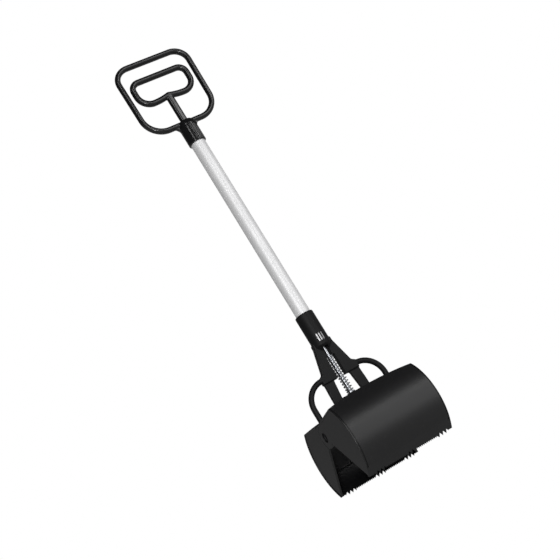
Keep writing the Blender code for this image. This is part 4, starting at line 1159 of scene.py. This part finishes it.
closedPinHeight = crosshead["pinOpenHeight"] - crosshead["travel"]
crossheadTop = crosshead["pinOpenHeight"] + crosshead["abovePin"]
rodSeat = crossheadTop - pullRod["inCrosshead"]
neckFoot = fork["neckTop"] - fork["neckLength"]
legTop = fork["webFoot"] + fork["webSideHeight"]
tubeFoot = neckFoot + tube["clearance"]
gripFoot = fork["neckTop"] + tube["shown"]
frameFoot = gripFoot + grip["socketLength"]
frameTop = frameFoot + grip["height"]
tubeTop = frameFoot - grip["shoulder"] - tube["clearance"]
triggerFoot = frameFoot + trigger["lift"]
triggerTop = triggerFoot + trigger["height"]
stemFoot = tubeTop - trigger["stemInTube"]
rodPinHeight = stemFoot + trigger["rodInStem"] / 2

tubeRadius = tube["diameter"] / 2
tubeBore = tubeRadius - tube["wall"]
tubeSocket = tubeRadius + tube["clearance"]
rodRadius = pullRod["diameter"] / 2
rodBore = rodRadius + pullRod["clearance"]
hingeBore = hinge["pinDiameter"] / 2 + hinge["clearance"]

makeJaw("frontJaw", -1, "front_jaw", "jaw_front")
makeJaw("rearJaw", 1, "rear_jaw", "jaw_rear")
print("jaws made")
makeFork()
print("fork made")
makeTube()
makeGrip()
makeTrigger()
print("tube, grip and trigger made")
makeHingePin()
makeRod()
makeCrosshead()
makeWashers()
makeBush()
print("turned pieces made")
makeSpring()
makeScrews()
print("spring and screws made")


# Floor. It is matt and pale. Seen from below it isn't there, because the photograph's camera is a
# little below the standing part.

floorLook = {"colour": "F4F4F2", "halfSide": 12.0, "fadeFrom": 0.25, "fadeTo": 1.8, "roughness": 0.9}


def makeFloor():
    material = bpy.data.materials.new("paleMattFloor")
    material.use_nodes = True
    tree = material.node_tree
    shader = tree.nodes["Principled BSDF"]
    shader.inputs["Base Color"].default_value = hexColour(floorLook["colour"])
    shader.inputs["Roughness"].default_value = floorLook["roughness"]
    place = addNode(tree, "ShaderNodeTexCoord").outputs["Object"]
    away = addNode(tree, "ShaderNodeVectorMath", links={0: place}, operation="LENGTH")
    fade = addNode(tree, "ShaderNodeMapRange", {
        "From Min": floorLook["fadeFrom"], "From Max": floorLook["fadeTo"]},
        {"Value": away.outputs["Value"]}, interpolation_type="SMOOTHSTEP")
    clear = addNode(tree, "ShaderNodeBsdfTransparent").outputs["BSDF"]
    faded = addNode(tree, "ShaderNodeMixShader", links={
        0: fade.outputs["Result"], 1: shader.outputs["BSDF"], 2: clear})
    below = addNode(tree, "ShaderNodeNewGeometry").outputs["Backfacing"]
    both = addNode(tree, "ShaderNodeMixShader", links={0: below, 1: faded.outputs["Shader"], 2: clear})
    tree.links.new(both.outputs["Shader"], tree.nodes["Material Output"].inputs["Surface"])
    half = floorLook["halfSide"]
    corners = [(-half, -half, 0), (half, -half, 0), (half, half, 0), (-half, half, 0)]
    floor = meshObject("floor", corners, [[0, 1, 2, 3]])
    if floor.data.polygons[0].normal.z < 0:
        floor.data.flip_normals()
    floor.data.materials.append(material)
    floor.visible_glossy = False      # a pale floor would light up the jaws' gloss from below


# Lights. The key is a tall panel that gives the front jaw its broad band of light, with a brighter
# strip along its top. The front panel lights the tube, the handle lamp draws a line of light down
# the grip's bars, and the mouth lamp looks in between the jaws. The plastics mirror a dim room,
# brighter below.

lights = {
    "ambient": 0.43,
    "mirroredBelow": 0.32,
    "mirroredAbove": 0.03,
    "mirroredFrom": -0.3,         # the heights, from -1 to 1, between which the mirrored room dims
    "mirroredTo": 0.4,
    "lamps": {                    # azimuth, elevation, distance, width, height and watts
        "key": (30, 6, 2.2, 1.5, 1.7, 11),
        "strip": (30, 28, 2.2, 1.5, 0.12, 4),
        "mouth": (-24, -13, 1.35, 0.3, 0.08, 4),
        "front": (-22, 6, 2.4, 0.6, 1.0, 8),
        "handle": (-22, 32, 2.7, 0.3, 0.8, 7),
        "right": (75, 12, 2.4, 0.8, 1.6, 1.5),
        "backLeft": (-158, 16, 2.4, 1.0, 1.0, 0.8),
        "backRight": (120, 20, 2.4, 1.0, 1.4, 3),
    },
}


def makeWorld():
    world = bpy.data.worlds.new("softStudio")
    bpy.context.scene.world = world
    world.use_nodes = True
    tree = world.node_tree
    tree.nodes.clear()
    ray = addNode(tree, "ShaderNodeLightPath").outputs
    way = addNode(tree, "ShaderNodeTexCoord").outputs["Generated"]
    height = addNode(tree, "ShaderNodeSeparateXYZ", links={0: way}).outputs["Z"]
    mirrored = addNode(tree, "ShaderNodeMapRange", {
        "From Min": lights["mirroredFrom"], "From Max": lights["mirroredTo"],
        "To Min": lights["mirroredBelow"], "To Max": lights["mirroredAbove"]},
        {"Value": height}, interpolation_type="SMOOTHSTEP")
    lit = addNode(tree, "ShaderNodeMix", {"A": lights["ambient"]},
                  {"Factor": ray["Is Glossy Ray"], "B": mirrored.outputs["Result"]})
    strength = addNode(tree, "ShaderNodeMix", {"B": 1.0},
                       {"Factor": ray["Is Camera Ray"], "A": lit.outputs["Result"]})
    light = addNode(tree, "ShaderNodeBackground", {"Color": (1.0, 1.0, 1.0, 1.0)},
                    {"Strength": strength.outputs["Result"]})
    addNode(tree, "ShaderNodeOutputWorld", links={"Surface": light.outputs["Background"]})


def makeLamps(target):
    for name, (azimuth, elevation, distance, width, height, watts) in lights["lamps"].items():
        azimuth, elevation = math.radians(azimuth), math.radians(elevation)
        away = Vector((math.sin(azimuth) * math.cos(elevation), -math.cos(azimuth) * math.cos(elevation),
                       math.sin(elevation)))
        data = bpy.data.lights.new(name, "AREA")
        data.shape = "RECTANGLE"
        data.size, data.size_y, data.energy = width, height, watts
        lamp = newObject(name, data)
        lamp.location = target + away * distance
        lamp.rotation_mode = "QUATERNION"
        lamp.rotation_quaternion = (-away).to_track_quat("-Z", "Y")


# Camera, fitted to the photograph. Its frame is turned on its side by the roll.

photoCamera = {
    "azimuth": 21.785,
    "elevation": -15.681,
    "roll": -31.625,
    "distance": 1.5,
    "aimHeight": 0.290,
    "panRight": -24.618,
    "panDown": -43.464,
    "focalPixels": 1075.168,
    "framePixels": 560,
    "sensor": 36.0,       # millimetres
}


def makeCamera(target):
    azimuth, elevation, roll = (math.radians(photoCamera[k]) for k in ("azimuth", "elevation", "roll"))
    focal, sensor = photoCamera["focalPixels"], photoCamera["sensor"]
    back = Vector((-math.sin(azimuth) * math.cos(elevation), -math.cos(azimuth) * math.cos(elevation),
                   math.sin(elevation)))
    level = Vector((math.cos(azimuth), -math.sin(azimuth), 0))
    upright = back.cross(level)
    right = level * math.cos(roll) + upright * math.sin(roll)
    up = upright * math.cos(roll) - level * math.sin(roll)
    # The object sits off the frame's middle, so the camera looks a little past it.
    ahead = -back - right * photoCamera["panRight"] / focal + up * photoCamera["panDown"] / focal
    ahead.normalize()
    right = (right - ahead * right.dot(ahead)).normalized()
    up = right.cross(ahead)
    eye = target + back * photoCamera["distance"]
    data = bpy.data.cameras.new("photoCamera")
    data.sensor_width = sensor
    data.lens = focal / photoCamera["framePixels"] * sensor
    camera = newObject("photoCamera", data)
    camera.matrix_world = Matrix((
        (right.x, up.x, -ahead.x, eye.x), (right.y, up.y, -ahead.y, eye.y),
        (right.z, up.z, -ahead.z, eye.z), (0, 0, 0, 1)))
    bpy.context.scene.camera = camera


aim = Vector((0, 0, hingeHeight + photoCamera["aimHeight"]))
makeFloor()
makeWorld()
makeLamps(aim)
makeCamera(aim)
bpy.context.scene.view_settings.view_transform = "Standard"
print("stage, light and camera made")

bpy.context.view_layer.update()
